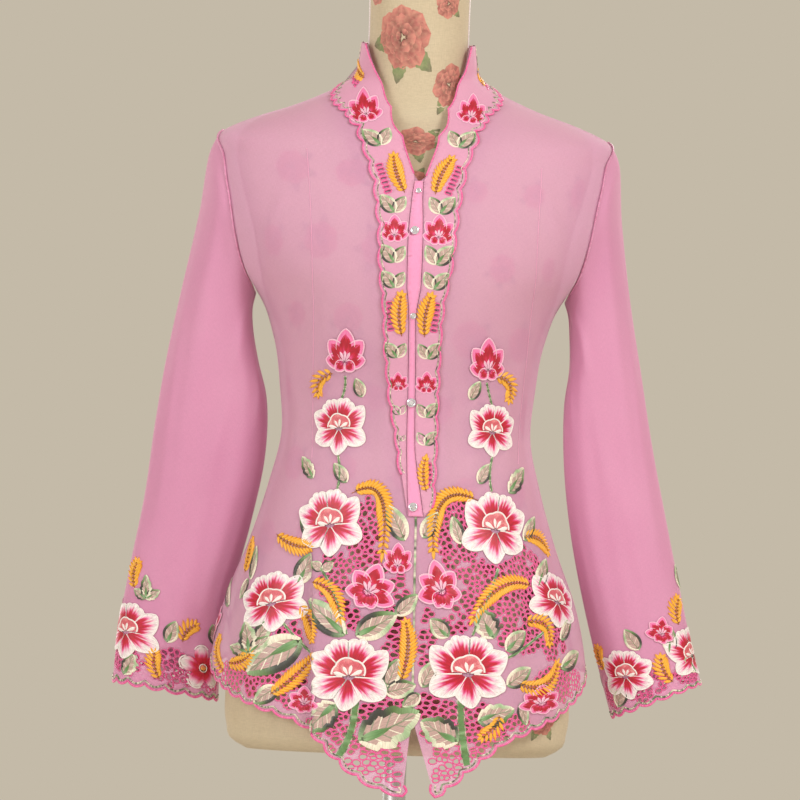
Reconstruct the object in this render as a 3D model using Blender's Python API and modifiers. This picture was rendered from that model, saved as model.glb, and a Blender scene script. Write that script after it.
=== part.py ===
"""Kebaya blouse worn by a limbless dress form on a short stand.

The frame has +Z up and the front at -Y, with the origin under the middle of the base. Tables are in
millimetres, and left and right are the wearer's, so the right side is at -X. A cloth panel is a flat
pattern in two coordinates, an angle round the body and a level up it, that is cut, laid on the body
surface and thickened.
"""

import math
import random
from collections import namedtuple

import bmesh
import bpy
import numpy as np
from mathutils import Matrix, Vector
from mathutils.geometry import delaunay_2d_cdt

MM = 0.001
CLOTH_WALL = 1.2
LAYER_RISE = 2.0
SEAM_HALF_GAP = 0.5
SPLIT_HALF_GAP = 0.4

BASE_RADIUS = 140.0
BASE_THICKNESS = 9.0
BASE_EDGE_BEVEL = 2.0
POLE_RADIUS = 11.5
FACE_GAP = 0.3
FORM_BOTTOM = 328.0
NECK_TOP = 1100.0
CAP_HEIGHT = 14.0
FORM_SEGMENTS = 28

REACH = 150.0
SIDE_ANGLE = 90.0
SECTION_POWER = 2.0 / 2.2
COLLAR_TOP = 1036.0
NECK_BASE = 1003.0
SHOULDER_TIP = 944.0
UNDERARM = 782.0
HEM_SIDE = 418.0
PATTERN_STEP = 24.0

HOLE_PITCH = 11.8
HOLE_RADIUS = 4.2
HOLE_SIDES = 5
HOLE_JITTER = 1.0
HOLE_MARGIN = 2.2
HOLE_SEED = 7
CUTWORK_TOP = 590.0
BACK_CUTWORK_TOP = 500.0
CUFF_CUTWORK_RUN = 60.0

# Heights and half sizes of the body's level rings, from the hem up to the collar's top. A ring's
# front and back may lie at other heights than its sides.
Ring = namedtuple("Ring", "level half front_level front back_level back")
CLOTH_RINGS = (
    Ring(270, 191, 270, 127, 270, 122),
    Ring(350, 190, 350, 127, 350, 123),
    Ring(417, 187, 417, 126, 417, 124),
    Ring(473, 176, 473, 122, 473, 120),
    Ring(535, 153, 535, 112, 535, 111),
    Ring(594, 135, 594, 103, 594, 99),
    Ring(645, 124, 645, 98, 645, 91),
    Ring(690, 127, 690, 102, 690, 90),
    Ring(740, 135, 740, 116, 740, 96),
    Ring(782, 152, 782, 126, 782, 102),
    Ring(805, 172, 805, 128, 806, 105),
    Ring(840, 191, 840, 126, 842, 108),
    Ring(880, 200, 879, 117, 884, 107),
    Ring(919, 199, 914, 104, 924, 101),
    Ring(944, 191, 936, 93, 950, 91),
    Ring(958, 160, 948, 85, 964, 81),
    Ring(971, 122, 958, 77, 977, 71),
    Ring(984, 92, 968, 69, 988, 62),
    Ring(994, 72, 977, 63, 997, 55),
    Ring(1003, 60, 986, 59, 1005, 51),
    Ring(1018, 57, 1001, 57, 1019, 50),
    Ring(1036, 55, 1018, 56, 1036, 49),
)
FORM_RINGS = (
    Ring(328, 150, 328, 92, 328, 100),
    Ring(335, 163, 335, 101, 335, 110),
    Ring(352, 170, 352, 105, 352, 114),
    Ring(384, 172, 384, 106, 384, 115),
    Ring(420, 171, 420, 107, 420, 115),
    Ring(473, 166, 473, 106, 473, 112),
    Ring(535, 147, 535, 98, 535, 103),
    Ring(594, 129, 594, 92, 594, 92),
    Ring(645, 118, 645, 87, 645, 84),
    Ring(690, 121, 690, 92, 690, 83),
    Ring(740, 129, 740, 106, 740, 90),
    Ring(782, 145, 782, 116, 782, 95),
    Ring(850, 160, 850, 114, 850, 100),
    Ring(900, 174, 898, 101, 902, 98),
    Ring(928, 178, 920, 86, 932, 86),
    Ring(943, 174, 932, 79, 946, 79),
    Ring(957.6, 156, 939, 72, 956, 71),
    Ring(970.9, 118, 949, 66, 970, 63),
    Ring(982.6, 88, 963, 64, 984, 57),
    Ring(990, 69, 972, 58, 992, 50),
    Ring(999, 55, 982, 53, 1001, 46),
    Ring(1014, 49.5, 998, 50, 1015, 43),
    Ring(1038, 49, 1028, 49, 1038, 42),
    Ring(1100, 49.5, 1100, 49, 1100, 43),
)

# The armhole's front or back half, from the underarm to the shoulder tip.
ArmholeRow = namedtuple("ArmholeRow", "along level angle")
ARMHOLE = (
    ArmholeRow(0.00, 782, 90),
    ArmholeRow(0.10, 788, 82),
    ArmholeRow(0.24, 803, 73),
    ArmholeRow(0.40, 830, 66.5),
    ArmholeRow(0.55, 862, 64),
    ArmholeRow(0.70, 893, 66),
    ArmholeRow(0.85, 921, 72),
    ArmholeRow(0.94, 936, 81),
    ArmholeRow(1.00, 944, 90),
)

# Lines of the front as it is seen from before it: across from the middle, and height.
Seen = namedtuple("Seen", "across height")
NECKLINE_RIGHT = (Seen(-0.5, 903), Seen(-13, 940), Seen(-25, 969), Seen(-42, 1008))
NECKLINE_LEFT = (Seen(11.5, 901), Seen(23, 941), Seen(31, 969), Seen(45, 1006))
NECKLINE_TOP_ANGLE = 67.0
SPLIT = (Seen(12.6, 556), Seen(13.2, 500), Seen(14.2, 430), Seen(15, 366))
HEM_RIGHT = (
    Seen(9, 300),
    Seen(7, 293),
    Seen(-14, 297),
    Seen(-40, 311),
    Seen(-60, 328),
    Seen(-84, 353),
    Seen(-113, 366),
    Seen(-164, 386),
)
HEM_LEFT = (
    Seen(36, 302),
    Seen(42, 293),
    Seen(56, 305),
    Seen(73, 321),
    Seen(107, 348),
    Seen(157, 373),
)

# The plain strip that covers the front's split, with the height of each row.
StripRow = namedtuple("StripRow", "height right_edge left_edge")
STRIP = (
    StripRow(896, 0.5, 9.0),
    StripRow(879, -1.5, 8.5),
    StripRow(860, -3.0, 9.5),
    StripRow(841, -4.0, 10.0),
    StripRow(816, -4.0, 10.0),
    StripRow(790, -3.5, 9.5),
    StripRow(774, -1.5, 7.0),
    StripRow(758, -0.5, 5.5),
    StripRow(732, 0.0, 6.5),
    StripRow(706, 0.5, 7.0),
    StripRow(680, 1.0, 7.5),
    StripRow(655, 1.0, 8.0),
    StripRow(630, 1.5, 9.0),
    StripRow(608, 2.5, 12.0),
    StripRow(586, 3.5, 16.0),
    StripRow(565, 5.0, 19.5),
)

LAPEL_RIGHT = (
    Seen(-67, 964),
    Seen(-54, 949),
    Seen(-50, 932),
    Seen(-44, 915),
    Seen(-37, 893),
    Seen(-31, 849),
    Seen(-27, 789),
    Seen(-22, 729),
    Seen(-16, 680),
    Seen(-8, 640),
    Seen(-3, 606),
)
LAPEL_LEFT = (
    Seen(68, 965),
    Seen(58, 948),
    Seen(56, 931),
    Seen(50, 914),
    Seen(46, 893),
    Seen(42, 864),
    Seen(39, 826),
    Seen(34, 790),
    Seen(30, 754),
    Seen(29, 700),
    Seen(29, 640),
    Seen(28, 574),
)
# Where a lapel's outer edge crosses the shoulder and climbs the collar, as angle and level.
LAPEL_COLLAR = ((86.0, 1036.0), (86.0, 1014.0), (85.5, 994.0))
STRIP_SIDE_GAP = 0.6

Scallop = namedtuple("Scallop", "pitch depth")
HEM_SCALLOP = Scallop(20.0, 4.0)
LAPEL_SCALLOP = Scallop(23.0, 2.4)
CUFF_SCALLOP = Scallop(20.0, 3.4)
BUMP_POINTS = 3

# Cutwork pockets between the sewn flowers, as ellipses seen from before the front.
Pocket = namedtuple("Pocket", "across height half_across half_height")
POCKETS_RIGHT = (
    Pocket(-35, 549, 8, 24),
    Pocket(-47, 501, 23, 29),
    Pocket(0, 496, 13, 8),
    Pocket(-28, 464, 24, 11),
    Pocket(-4, 447, 7, 22),
    Pocket(-112, 455, 14, 13),
    Pocket(-145, 399, 27, 12),
    Pocket(-107, 391, 14, 13),
    Pocket(-12, 377, 27, 11),
    Pocket(-65, 353, 20, 18),
    Pocket(-14, 319, 29, 22),
)
POCKETS_LEFT = (
    Pocket(53, 551, 12, 23),
    Pocket(71, 505, 19, 25),
    Pocket(112, 516, 17, 16),
    Pocket(119, 472, 24, 26),
    Pocket(44, 465, 19, 11),
    Pocket(25, 446, 7, 22),
    Pocket(150, 449, 9, 15),
    Pocket(158, 404, 16, 12),
    Pocket(40, 379, 20, 11),
    Pocket(47, 329, 25, 30),
    Pocket(79, 354, 14, 21),
    Pocket(107, 362, 19, 10),
)
POCKETS_BACK = (
    Pocket(-120, 455, 22, 20),
    Pocket(-40, 448, 24, 18),
    Pocket(44, 450, 24, 19),
    Pocket(122, 454, 22, 20),
)

# Soft folds as ridges along straight lines, seen from before or behind. Each fades at both ends.
Fold = namedtuple("Fold", "low_across low_height high_across high_height half_width rise fade")
FRONT_FOLDS = (
    Fold(-20, 560, -23, 760, 9, 2.4, 50),
    Fold(40, 560, 37, 760, 10, 2.4, 50),
    Fold(118, 300, 100, 560, 15, 4.0, 90),
    Fold(158, 330, 130, 560, 12, 3.0, 80),
    Fold(72, 230, 66, 470, 16, 2.5, 90),
    Fold(-128, 700, -146, 800, 8, 1.8, 30),
    Fold(127, 690, 148, 795, 7, 1.8, 30),
    Fold(-138, 330, -122, 560, 17, 3.0, 90),
)
BACK_FOLDS = (
    Fold(-132, 330, -112, 600, 18, 5.0, 110),
    Fold(-58, 330, -45, 640, 16, 4.0, 120),
    Fold(12, 330, 8, 560, 15, 3.2, 100),
    Fold(74, 330, 55, 660, 17, 4.6, 120),
    Fold(140, 330, 118, 580, 15, 3.8, 100),
    Fold(-60, 720, -95, 880, 10, 2.0, 60),
    Fold(66, 700, 100, 870, 11, 2.2, 60),
)

# The deep fold of the right front: the cloth outside this line drops back below the waist.
DEEP_FOLD_TOP = Seen(-90, 562)
DEEP_FOLD_LOW = Seen(-83, 330)
DEEP_FOLD_CUT = 366.0
DEEP_FOLD_DROP = 10.0
DEEP_FOLD_STEP = 3.0
DEEP_FOLD_RUNOUT = 34.0
DEEP_FOLD_FADE = 110.0

# Sleeve sections from the armhole to the cuff: the inner and outer edge seen from before, the half
# depth from front to back, and how far the section hangs behind the armhole.
SleeveRow = namedtuple("SleeveRow", "along inner inner_height outer outer_height half_depth behind")
SLEEVE_RIGHT = (
    SleeveRow(0, 154.5, 781, 191, 944, 53, 0),
    SleeveRow(28, 157.5, 769, 203, 922, 52, 0),
    SleeveRow(75, 157, 748, 214, 858, 47, 2),
    SleeveRow(130, 151, 716, 228, 788, 41, 5),
    SleeveRow(190, 141, 676, 241, 720, 35, 10),
    SleeveRow(260, 141, 620, 251, 652, 31, 20),
    SleeveRow(340, 154, 549, 260, 576, 29, 36),
    SleeveRow(420, 172, 474, 274, 497, 28, 50),
    SleeveRow(480, 180, 417, 283, 438, 27, 60),
    SleeveRow(530, 181, 371, 287, 387, 26, 66),
)
SLEEVE_LEFT = (
    SleeveRow(0, 154.5, 781, 191, 944, 53, 0),
    SleeveRow(28, 158.5, 770, 202, 924, 51, 0),
    SleeveRow(75, 161, 748, 209, 862, 45, 2),
    SleeveRow(130, 162, 716, 219, 790, 39, 4),
    SleeveRow(190, 158, 678, 233, 714, 35, 6),
    SleeveRow(260, 160, 618, 247, 640, 33, 10),
    SleeveRow(340, 170, 545, 265, 560, 32, 14),
    SleeveRow(420, 187, 470, 283, 483, 31, 18),
    SleeveRow(480, 202, 415, 295, 434, 30, 22),
    SleeveRow(530, 216, 368, 304, 405, 29, 24),
)
SLEEVE_LENGTH = 530.0
ELBOW = 265.0
SLEEVE_WIDTH = 150.0
ARMHOLE_BLEND = 70.0
SLEEVE_STEP = 30.0

SleeveFold = namedtuple("SleeveFold", "across low high half_width rise fade")
SLEEVE_FOLDS = (
    SleeveFold(0.66, -60, 430, 0.09, 3.4, 120),
    SleeveFold(0.30, 40, 520, 0.07, 2.6, 130),
    SleeveFold(0.46, 200, 600, 0.06, 2.0, 110),
)
CuffPocket = namedtuple("CuffPocket", "across along half_across half_along")
CUFF_POCKETS_FRONT = (
    CuffPocket(0.80, 505, 15, 12),
    CuffPocket(0.45, 506, 15, 13),
    CuffPocket(0.19, 508, 13, 11),
)
CUFF_POCKETS_BACK = (CuffPocket(0.70, 506, 15, 12), CuffPocket(0.34, 507, 15, 12))

Button = namedtuple("Button", "across height diameter")
BUTTONS = (
    Button(4.6, 886, 5.0),
    Button(2.2, 847, 7.5),
    Button(3.2, 764, 5.5),
    Button(4.2, 678, 8.0),
    Button(9.2, 574, 8.0),
)
BUTTON_GAP = 0.5
BUTTON_SIDES = 10
BUTTON_GIRDLE = 0.28
BUTTON_TABLE = 0.55

PINK = (0.80, 0.30, 0.49, 1.0)
PINK_STRIP = (0.88, 0.25, 0.48, 1.0)
PINK_BAND = (0.83, 0.34, 0.50, 1.0)
LINEN = (0.73, 0.62, 0.40, 1.0)
STEEL = (0.60, 0.61, 0.62, 1.0)
CRYSTAL = (0.85, 0.87, 0.90, 1.0)


class Track:
    """A smooth curve through the columns of a table, read at any value of its first column."""

    def __init__(self, rows):
        table = np.array(rows, float)
        self.keys = table[:, 0]
        self.values = table[:, 1:]
        self.slopes = np.gradient(self.values, self.keys, axis=0)

    def at(self, key):
        """The other columns at this value of the first one."""
        key = min(max(key, self.keys[0]), self.keys[-1])
        low = min(int(np.searchsorted(self.keys, key, side="right")) - 1, len(self.keys) - 2)
        span = self.keys[low + 1] - self.keys[low]
        t = (key - self.keys[low]) / span
        ease = t * t * (3 - 2 * t)
        start = (t - 1) ** 2 * t * span
        end = t * t * (t - 1) * span
        smooth = self.values[low] * (1 - ease) + self.values[low + 1] * ease
        return smooth + self.slopes[low] * start + self.slopes[low + 1] * end


def smooth_step(value):
    """Rises from 0 to 1 as value does, with level ends."""
    value = min(max(value, 0.0), 1.0)
    return value * value * (3 - 2 * value)


def fold_window(height, low, high, fade):
    """1 along a fold, falling to 0 at its ends."""
    return smooth_step((height - low) / fade) * smooth_step((high - height) / fade)


class Body:
    """A surface lofted through level rings. Its coordinates are REACH times the angle, and the level."""

    def __init__(self, rings, folded):
        self.track = Track(rings)
        self.folded = folded

    def flat_point(self, u, level):
        """The point before any fold is added."""
        half, front_level, front, back_level, back = self.track.at(level)
        sine = math.sin(u / REACH)
        cosine = math.cos(u / REACH)
        x = math.copysign(abs(sine) ** SECTION_POWER, sine) * half
        depth = abs(cosine) ** SECTION_POWER
        y = -depth * front if cosine > 0 else depth * back
        middle_level = front_level if cosine > 0 else back_level
        return Vector((x, y, level * sine * sine + middle_level * cosine * cosine))

    def fold_rise(self, point):
        """How far the folds move this point out."""
        folds = FRONT_FOLDS if point.y < 0 else BACK_FOLDS
        rise = 0.0
        for fold in folds:
            share = (point.z - fold.low_height) / (fold.high_height - fold.low_height)
            middle = fold.low_across + share * (fold.high_across - fold.low_across)
            away = (point.x - middle) / fold.half_width
            fade = fold_window(point.z, fold.low_height, fold.high_height, fold.fade)
            rise += fold.rise * math.exp(-away * away) * fade
        if point.y < 0:
            rise -= deep_fold_drop(point.x, point.z)
        return rise * smooth_step(abs(point.y) / 60.0)

    def point(self, u, level, lift=0.0):
        """The point of the surface, moved out along its normal."""
        place = self.flat_point(u, level)
        if self.folded:
            outward = Vector((math.sin(u / REACH), -math.cos(u / REACH), 0.0))
            place += outward * self.fold_rise(place)
        return place + self.normal(u, level) * lift if lift else place

    def normal(self, u, level):
        """The outward direction of the surface before any fold is added."""
        step = 0.5
        along_u = self.flat_point(u + step, level) - self.flat_point(u - step, level)
        along_level = self.flat_point(u, level + step) - self.flat_point(u, level - step)
        return along_u.cross(along_level).normalized()

    def seen(self, across, height):
        """The coordinates of a point of the front, given as it is seen from before."""
        low, high = self.track.keys[0], self.track.keys[-1]
        for _ in range(40):
            level = (low + high) / 2
            if self.flat_point(self.turn(across, level), level).z < height:
                low = level
            else:
                high = level
        return (self.turn(across, level), level)

    def turn(self, across, level):
        """The first coordinate of a front point this far across at this level."""
        half = self.track.at(level)[0]
        share = min(abs(across) / half, 1.0)
        return math.copysign(math.asin(share ** (1 / SECTION_POWER)), across) * REACH


def deep_fold_drop(across, height):
    """How far the cloth outside the right front's deep fold lies behind its edge."""
    share = (height - DEEP_FOLD_LOW.height) / (DEEP_FOLD_TOP.height - DEEP_FOLD_LOW.height)
    edge = DEEP_FOLD_LOW.across + share * (DEEP_FOLD_TOP.across - DEEP_FOLD_LOW.across)
    outside = edge - across
    if outside <= 0:
        return 0.0
    steep = min(outside / DEEP_FOLD_STEP, 1.0)
    run_out = math.exp(-((max(outside - DEEP_FOLD_STEP, 0.0) / DEEP_FOLD_RUNOUT) ** 2))
    return DEEP_FOLD_DROP * steep * run_out * smooth_step((DEEP_FOLD_TOP.height - height) / DEEP_FOLD_FADE)


BODY = Body(CLOTH_RINGS, folded=True)
FORM = Body(FORM_RINGS, folded=False)
SIDE_U = math.radians(SIDE_ANGLE) * REACH


def resample(line, step):
    """The line with extra points, so that none of its stretches is longer than step."""
    points = [line[0]]
    for start, end in zip(line, line[1:]):
        count = max(1, math.ceil(math.dist(start, end) / step))
        for k in range(1, count + 1):
            share = k / count
            points.append(tuple(a + (b - a) * share for a, b in zip(start, end)))
    return points


def scalloped(line, scallop, side):
    """The line redrawn as a row of round bumps that bulge to its left (side 1) or right (side -1)."""
    lengths = np.cumsum([0.0] + [math.dist(a, b) for a, b in zip(line, line[1:])])
    bumps = max(1, round(lengths[-1] / scallop.pitch))
    stations = np.linspace(0.0, lengths[-1], bumps * BUMP_POINTS + 1)
    columns = np.array(line, float)
    across = np.interp(stations, lengths, columns[:, 0])
    along = np.interp(stations, lengths, columns[:, 1])
    ahead = np.stack([np.gradient(across), np.gradient(along)], axis=1)
    ahead /= np.linalg.norm(ahead, axis=1)[:, None]
    rise = scallop.depth * np.sin(np.pi * (np.arange(len(stations)) % BUMP_POINTS) / BUMP_POINTS)
    return [
        (float(x - side * d[1] * r), float(y + side * d[0] * r))
        for x, y, d, r in zip(across, along, ahead, rise)
    ]


def inside(points, polygon):
    """For each point, whether it lies within the polygon."""
    points = np.asarray(points, float)
    corners = np.asarray(polygon, float)
    result = np.zeros(len(points), bool)
    for (x0, y0), (x1, y1) in zip(corners, np.roll(corners, -1, axis=0)):
        crosses = (y0 > points[:, 1]) != (y1 > points[:, 1])
        if y0 != y1:
            at = x0 + (points[:, 1] - y0) * (x1 - x0) / (y1 - y0)
            result ^= crosses & (points[:, 0] < at)
    return result


def far_from(points, line, distance):
    """For each point, whether it is at least this far from every stretch of the line."""
    points = np.asarray(points, float)
    clear = np.ones(len(points), bool)
    for start, end in zip(line, line[1:]):
        start, end = np.array(start, float), np.array(end, float)
        along = end - start
        share = ((points - start) @ along / max(along @ along, 1e-12)).clip(0, 1)
        gap = np.linalg.norm(points - start - share[:, None] * along, axis=1)
        clear &= gap >= distance
    return clear


def hex_grid(low, high, pitch):
    """The points of a regular triangular grid that covers a rectangle."""
    rows = np.arange(low[1], high[1] + pitch, pitch * math.sqrt(0.75))
    grid = []
    for number, row in enumerate(rows):
        shift = pitch / 2 * (number % 2)
        grid += [(x, row) for x in np.arange(low[0] + shift, high[0] + pitch, pitch)]
    return np.array(grid)


def cutwork_holes(in_pocket, low, high, edges, seed):
    """Uneven rounded gaps on a jittered grid, where a pocket holds them and every edge is clear."""
    chance = random.Random(seed)
    holes = []
    for x, y in hex_grid(low, high, HOLE_PITCH):
        middle = (x + chance.uniform(-1, 1) * HOLE_JITTER, y + chance.uniform(-1, 1) * HOLE_JITTER)
        start = chance.uniform(0, math.tau)
        ring = []
        for k in range(HOLE_SIDES):
            radius = HOLE_RADIUS * chance.uniform(0.9, 1.12)
            angle = start + math.tau * k / HOLE_SIDES
            ring.append((middle[0] + radius * math.cos(angle), middle[1] + radius * math.sin(angle)))
        if not in_pocket(middle):
            continue
        if all(far_from(ring, edge, HOLE_MARGIN).all() for edge in edges):
            holes.append(ring)
    return holes


class Pattern:
    """A flat piece cut into triangles, with its lines and holes as edges."""

    def __init__(self, outline, lines=(), holes=(), step=PATTERN_STEP):
        self.points, edges = [], []
        for line, closes in [(outline, True)] + [(x, False) for x in lines] + [(x, True) for x in holes]:
            self.add_line(line, closes, edges)
        fixed = np.array(self.points)
        corners = np.array(outline)
        grid = hex_grid(corners.min(axis=0), corners.max(axis=0), step)
        grid = grid[inside(grid, outline)]
        spans = np.linalg.norm(grid[:, None] - fixed[None], axis=2).min(axis=1)
        grid = grid[spans > 0.55 * step]
        for line in [outline + outline[:1], *lines]:
            grid = grid[far_from(grid, line, 0.4 * step)]
        for hole in holes:
            grid = grid[~inside(grid, hole)]
        flat = [Vector(p) for p in self.points + [tuple(p) for p in grid]]
        points, _, faces, *_ = delaunay_2d_cdt(flat, edges, [], 0, 1e-5)
        self.points = [(p.x, p.y) for p in points]
        self.faces = self.kept(faces, outline, holes)

    def add_line(self, line, closes, edges):
        """Adds the line's points, shared with points that are there, and its edges."""
        known = {(round(x, 4), round(y, 4)): k for k, (x, y) in enumerate(self.points)}
        numbers = []
        for x, y in line:
            key = (round(x, 4), round(y, 4))
            if key not in known:
                known[key] = len(self.points)
                self.points.append((x, y))
            numbers.append(known[key])
        if closes:
            numbers.append(numbers[0])
        edges += [(a, b) for a, b in zip(numbers, numbers[1:]) if a != b]

    def kept(self, faces, outline, holes):
        """The triangles within the outline and outside the holes."""
        places = np.array(self.points)
        middles = places[np.array(faces)].mean(axis=1)
        keep = inside(middles, outline)
        for hole in holes:
            keep &= ~inside(middles, hole)
        return [tuple(face) for face, stays in zip(faces, keep) if stays]

    def within(self, polygon):
        """The triangles whose middles lie in the polygon."""
        places = np.array(self.points)
        middles = places[np.array(self.faces)].mean(axis=1)
        return [face for face, stays in zip(self.faces, inside(middles, polygon)) if stays]


def make_material(name, colour, roughness, metallic=0.0):
    """A plain material of one colour."""
    material = bpy.data.materials.new(name)
    material.use_nodes = True
    shader = material.node_tree.nodes["Principled BSDF"]
    shader.inputs["Base Color"].default_value = colour
    shader.inputs["Roughness"].default_value = roughness
    shader.inputs["Metallic"].default_value = metallic
    return material


def new_object(name, mesh, material, collection):
    """An object of this mesh in the part's collection."""
    mesh.materials.append(material)
    mesh.shade_smooth()
    mesh.set_sharp_from_angle(angle=math.radians(40))
    thing = bpy.data.objects.new(name, mesh)
    collection.objects.link(thing)
    return thing


def cloth_object(name, points, faces, place, material, collection):
    """Lays triangles of a pattern on a surface and thickens them to the cloth's wall."""
    used = sorted({k for face in faces for k in face})
    number = {old: new for new, old in enumerate(used)}
    builder = bmesh.new()
    verts = [builder.verts.new(place(*points[k]) * MM) for k in used]
    for face in faces:
        builder.faces.new([verts[number[k]] for k in face])
    bmesh.ops.recalc_face_normals(builder, faces=builder.faces)
    mesh = bpy.data.meshes.new(name)
    builder.to_mesh(mesh)
    builder.free()
    thing = new_object(name, mesh, material, collection)
    wall = thing.modifiers.new("wall", "SOLIDIFY")
    wall.thickness = CLOTH_WALL * MM
    wall.offset = 0.0
    wall.use_even_offset = False
    return thing


def seen_line(rows):
    """Surface coordinates of a line of the front, given as it is seen."""
    return [BODY.seen(row.across, row.height) for row in rows]


def armhole_line(side, back):
    """The armhole's front or back half on the body, from the underarm up."""
    line = []
    for row in ARMHOLE:
        u = math.radians(row.angle) * REACH - SEAM_HALF_GAP * (row.angle > 89.9)
        line.append((side * (2 * SIDE_U - u if back else u), float(row.level)))
    return line


def split_line(side):
    """The edge where the two fronts meet, from the neckline's point to the parting above the hem."""
    rows = [Seen((r.right_edge + r.left_edge) / 2, r.height) for r in STRIP] + list(SPLIT)
    return seen_line([Seen(row.across + side * SPLIT_HALF_GAP, row.height) for row in rows])


def strip_edge(side):
    """The line beside the strip where a lapel's inner edge lies."""
    rows = []
    for row in STRIP:
        edge = row.left_edge if side > 0 else row.right_edge
        rows.append(Seen(edge + side * STRIP_SIDE_GAP, row.height))
    return seen_line(rows)


def in_front_pockets(pockets):
    """A test for whether a point of the pattern lies in a pocket."""

    def test(place):
        point = BODY.flat_point(*place)
        for p in pockets:
            across = (point.x - p.across) / p.half_across
            height = (point.z - p.height) / p.half_height
            if across * across + height * height < 1:
                return True
        return False

    return test


def front_lines(side):
    """The named lines of one front's pattern."""
    neckline = seen_line(NECKLINE_LEFT if side > 0 else NECKLINE_RIGHT)
    neck_top = (side * math.radians(NECKLINE_TOP_ANGLE) * REACH, COLLAR_TOP)
    lapel = seen_line(LAPEL_LEFT if side > 0 else LAPEL_RIGHT)
    collar = [(side * math.radians(angle) * REACH, level) for angle, level in LAPEL_COLLAR]
    outer = scalloped(collar[-1:] + lapel, LAPEL_SCALLOP, side=side)
    hem = seen_line(HEM_LEFT if side > 0 else HEM_RIGHT)
    hem_side = (side * (SIDE_U - SEAM_HALF_GAP), HEM_SIDE)
    return {
        "split": split_line(side),
        "neckline": resample(neckline + [neck_top], PATTERN_STEP),
        "lapel": collar[:-1] + outer,
        "hem": scalloped(hem + [hem_side], HEM_SCALLOP, side=-side),
        "strip": strip_edge(side),
    }


def front_outline(side, lines):
    """A front's edge: down the split, along the hem, up the side, round the armhole, over the shoulder
    and the collar, and back down the neckline."""
    edge_u = side * (SIDE_U - SEAM_HALF_GAP)
    side_seam = resample([(edge_u, HEM_SIDE), (edge_u, UNDERARM)], PATTERN_STEP)[1:-1]
    shoulder = resample([(edge_u, SHOULDER_TIP), (edge_u, NECK_BASE), (edge_u, COLLAR_TOP)], 14.0)[1:]
    collar_top = resample([(edge_u, COLLAR_TOP), lines["lapel"][0], lines["neckline"][-1]], 18.0)[1:-1]
    edge = [*lines["split"], *lines["hem"], *side_seam, *armhole_line(side, back=False)]
    return [*edge, *shoulder, *collar_top, *reversed(lines["neckline"])]


def deep_fold_lines():
    """The two edges of the right front's deep fold."""
    lines = []
    for shift in (0.0, -DEEP_FOLD_STEP):
        top = Seen(DEEP_FOLD_TOP.across + shift, DEEP_FOLD_TOP.height)
        low = Seen(DEEP_FOLD_LOW.across + shift, DEEP_FOLD_CUT)
        lines.append(resample(seen_line([top, low]), PATTERN_STEP))
    return lines


def build_front(side, materials, collection):
    """One front with its lapel band."""
    name = "left" if side > 0 else "right"
    lines = front_lines(side)
    outline = front_outline(side, lines)
    lapel_end = [lines["lapel"][-1], lines["strip"][-1]]
    inner_lines = [lines["lapel"], lines["strip"], lapel_end]
    if side < 0:
        inner_lines += deep_fold_lines()
    pockets = POCKETS_LEFT if side > 0 else POCKETS_RIGHT
    low, high = np.min(outline, axis=0), np.max(outline, axis=0)
    high[1] = CUTWORK_TOP
    edges = [outline + outline[:1], *inner_lines]
    holes = cutwork_holes(in_front_pockets(pockets), low, high, edges, HOLE_SEED + side)
    pattern = Pattern(outline, inner_lines, holes)
    cloth_object(f"front_{name}", pattern.points, pattern.faces, BODY.point, materials["pink"], collection)
    strip = lines["strip"]
    lapel_edge = [*lines["lapel"], *reversed(strip), *lines["neckline"]]
    faces = pattern.within(lapel_edge)
    cloth_object(
        f"lapel_{name}",
        pattern.points,
        faces,
        lambda u, level: BODY.point(u, level, LAYER_RISE),
        materials["band"],
        collection,
    )
    return len(holes)


def build_back(materials, collection):
    """The back, from side seam to side seam."""
    edge_u = SIDE_U + SEAM_HALF_GAP
    far_u = 4 * SIDE_U - edge_u
    side_seam = resample([(edge_u, HEM_SIDE), (edge_u, UNDERARM)], PATTERN_STEP)[1:-1]
    shoulder = resample([(edge_u, SHOULDER_TIP), (edge_u, NECK_BASE)], 14.0)[1:]
    armhole = armhole_line(1, back=True)
    left = [*side_seam, *armhole, *shoulder]
    right = [(4 * SIDE_U - u, level) for u, level in reversed(left)]
    neck = resample([left[-1], right[0]], 18.0)[1:-1]
    hem = scalloped([(far_u, HEM_SIDE), (edge_u, HEM_SIDE)], HEM_SCALLOP, side=1)
    outline = [*left, *neck, *right, *hem]
    low, high = np.min(outline, axis=0), np.max(outline, axis=0)
    high[1] = BACK_CUTWORK_TOP
    holes = cutwork_holes(in_front_pockets(POCKETS_BACK), low, high, [outline + outline[:1]], HOLE_SEED)
    pattern = Pattern(outline, (), holes)
    cloth_object("back", pattern.points, pattern.faces, BODY.point, materials["pink"], collection)
    collar_low = NECK_BASE + 2 * SEAM_HALF_GAP
    lower = resample([(edge_u, collar_low), (far_u, collar_low)], 18.0)
    upper = [(u, COLLAR_TOP) for u, _ in reversed(lower)]
    collar = Pattern([*lower, *upper], (), (), step=20.0)
    cloth_object("collar_back", collar.points, collar.faces, BODY.point, materials["band"], collection)
    return len(holes)


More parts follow.
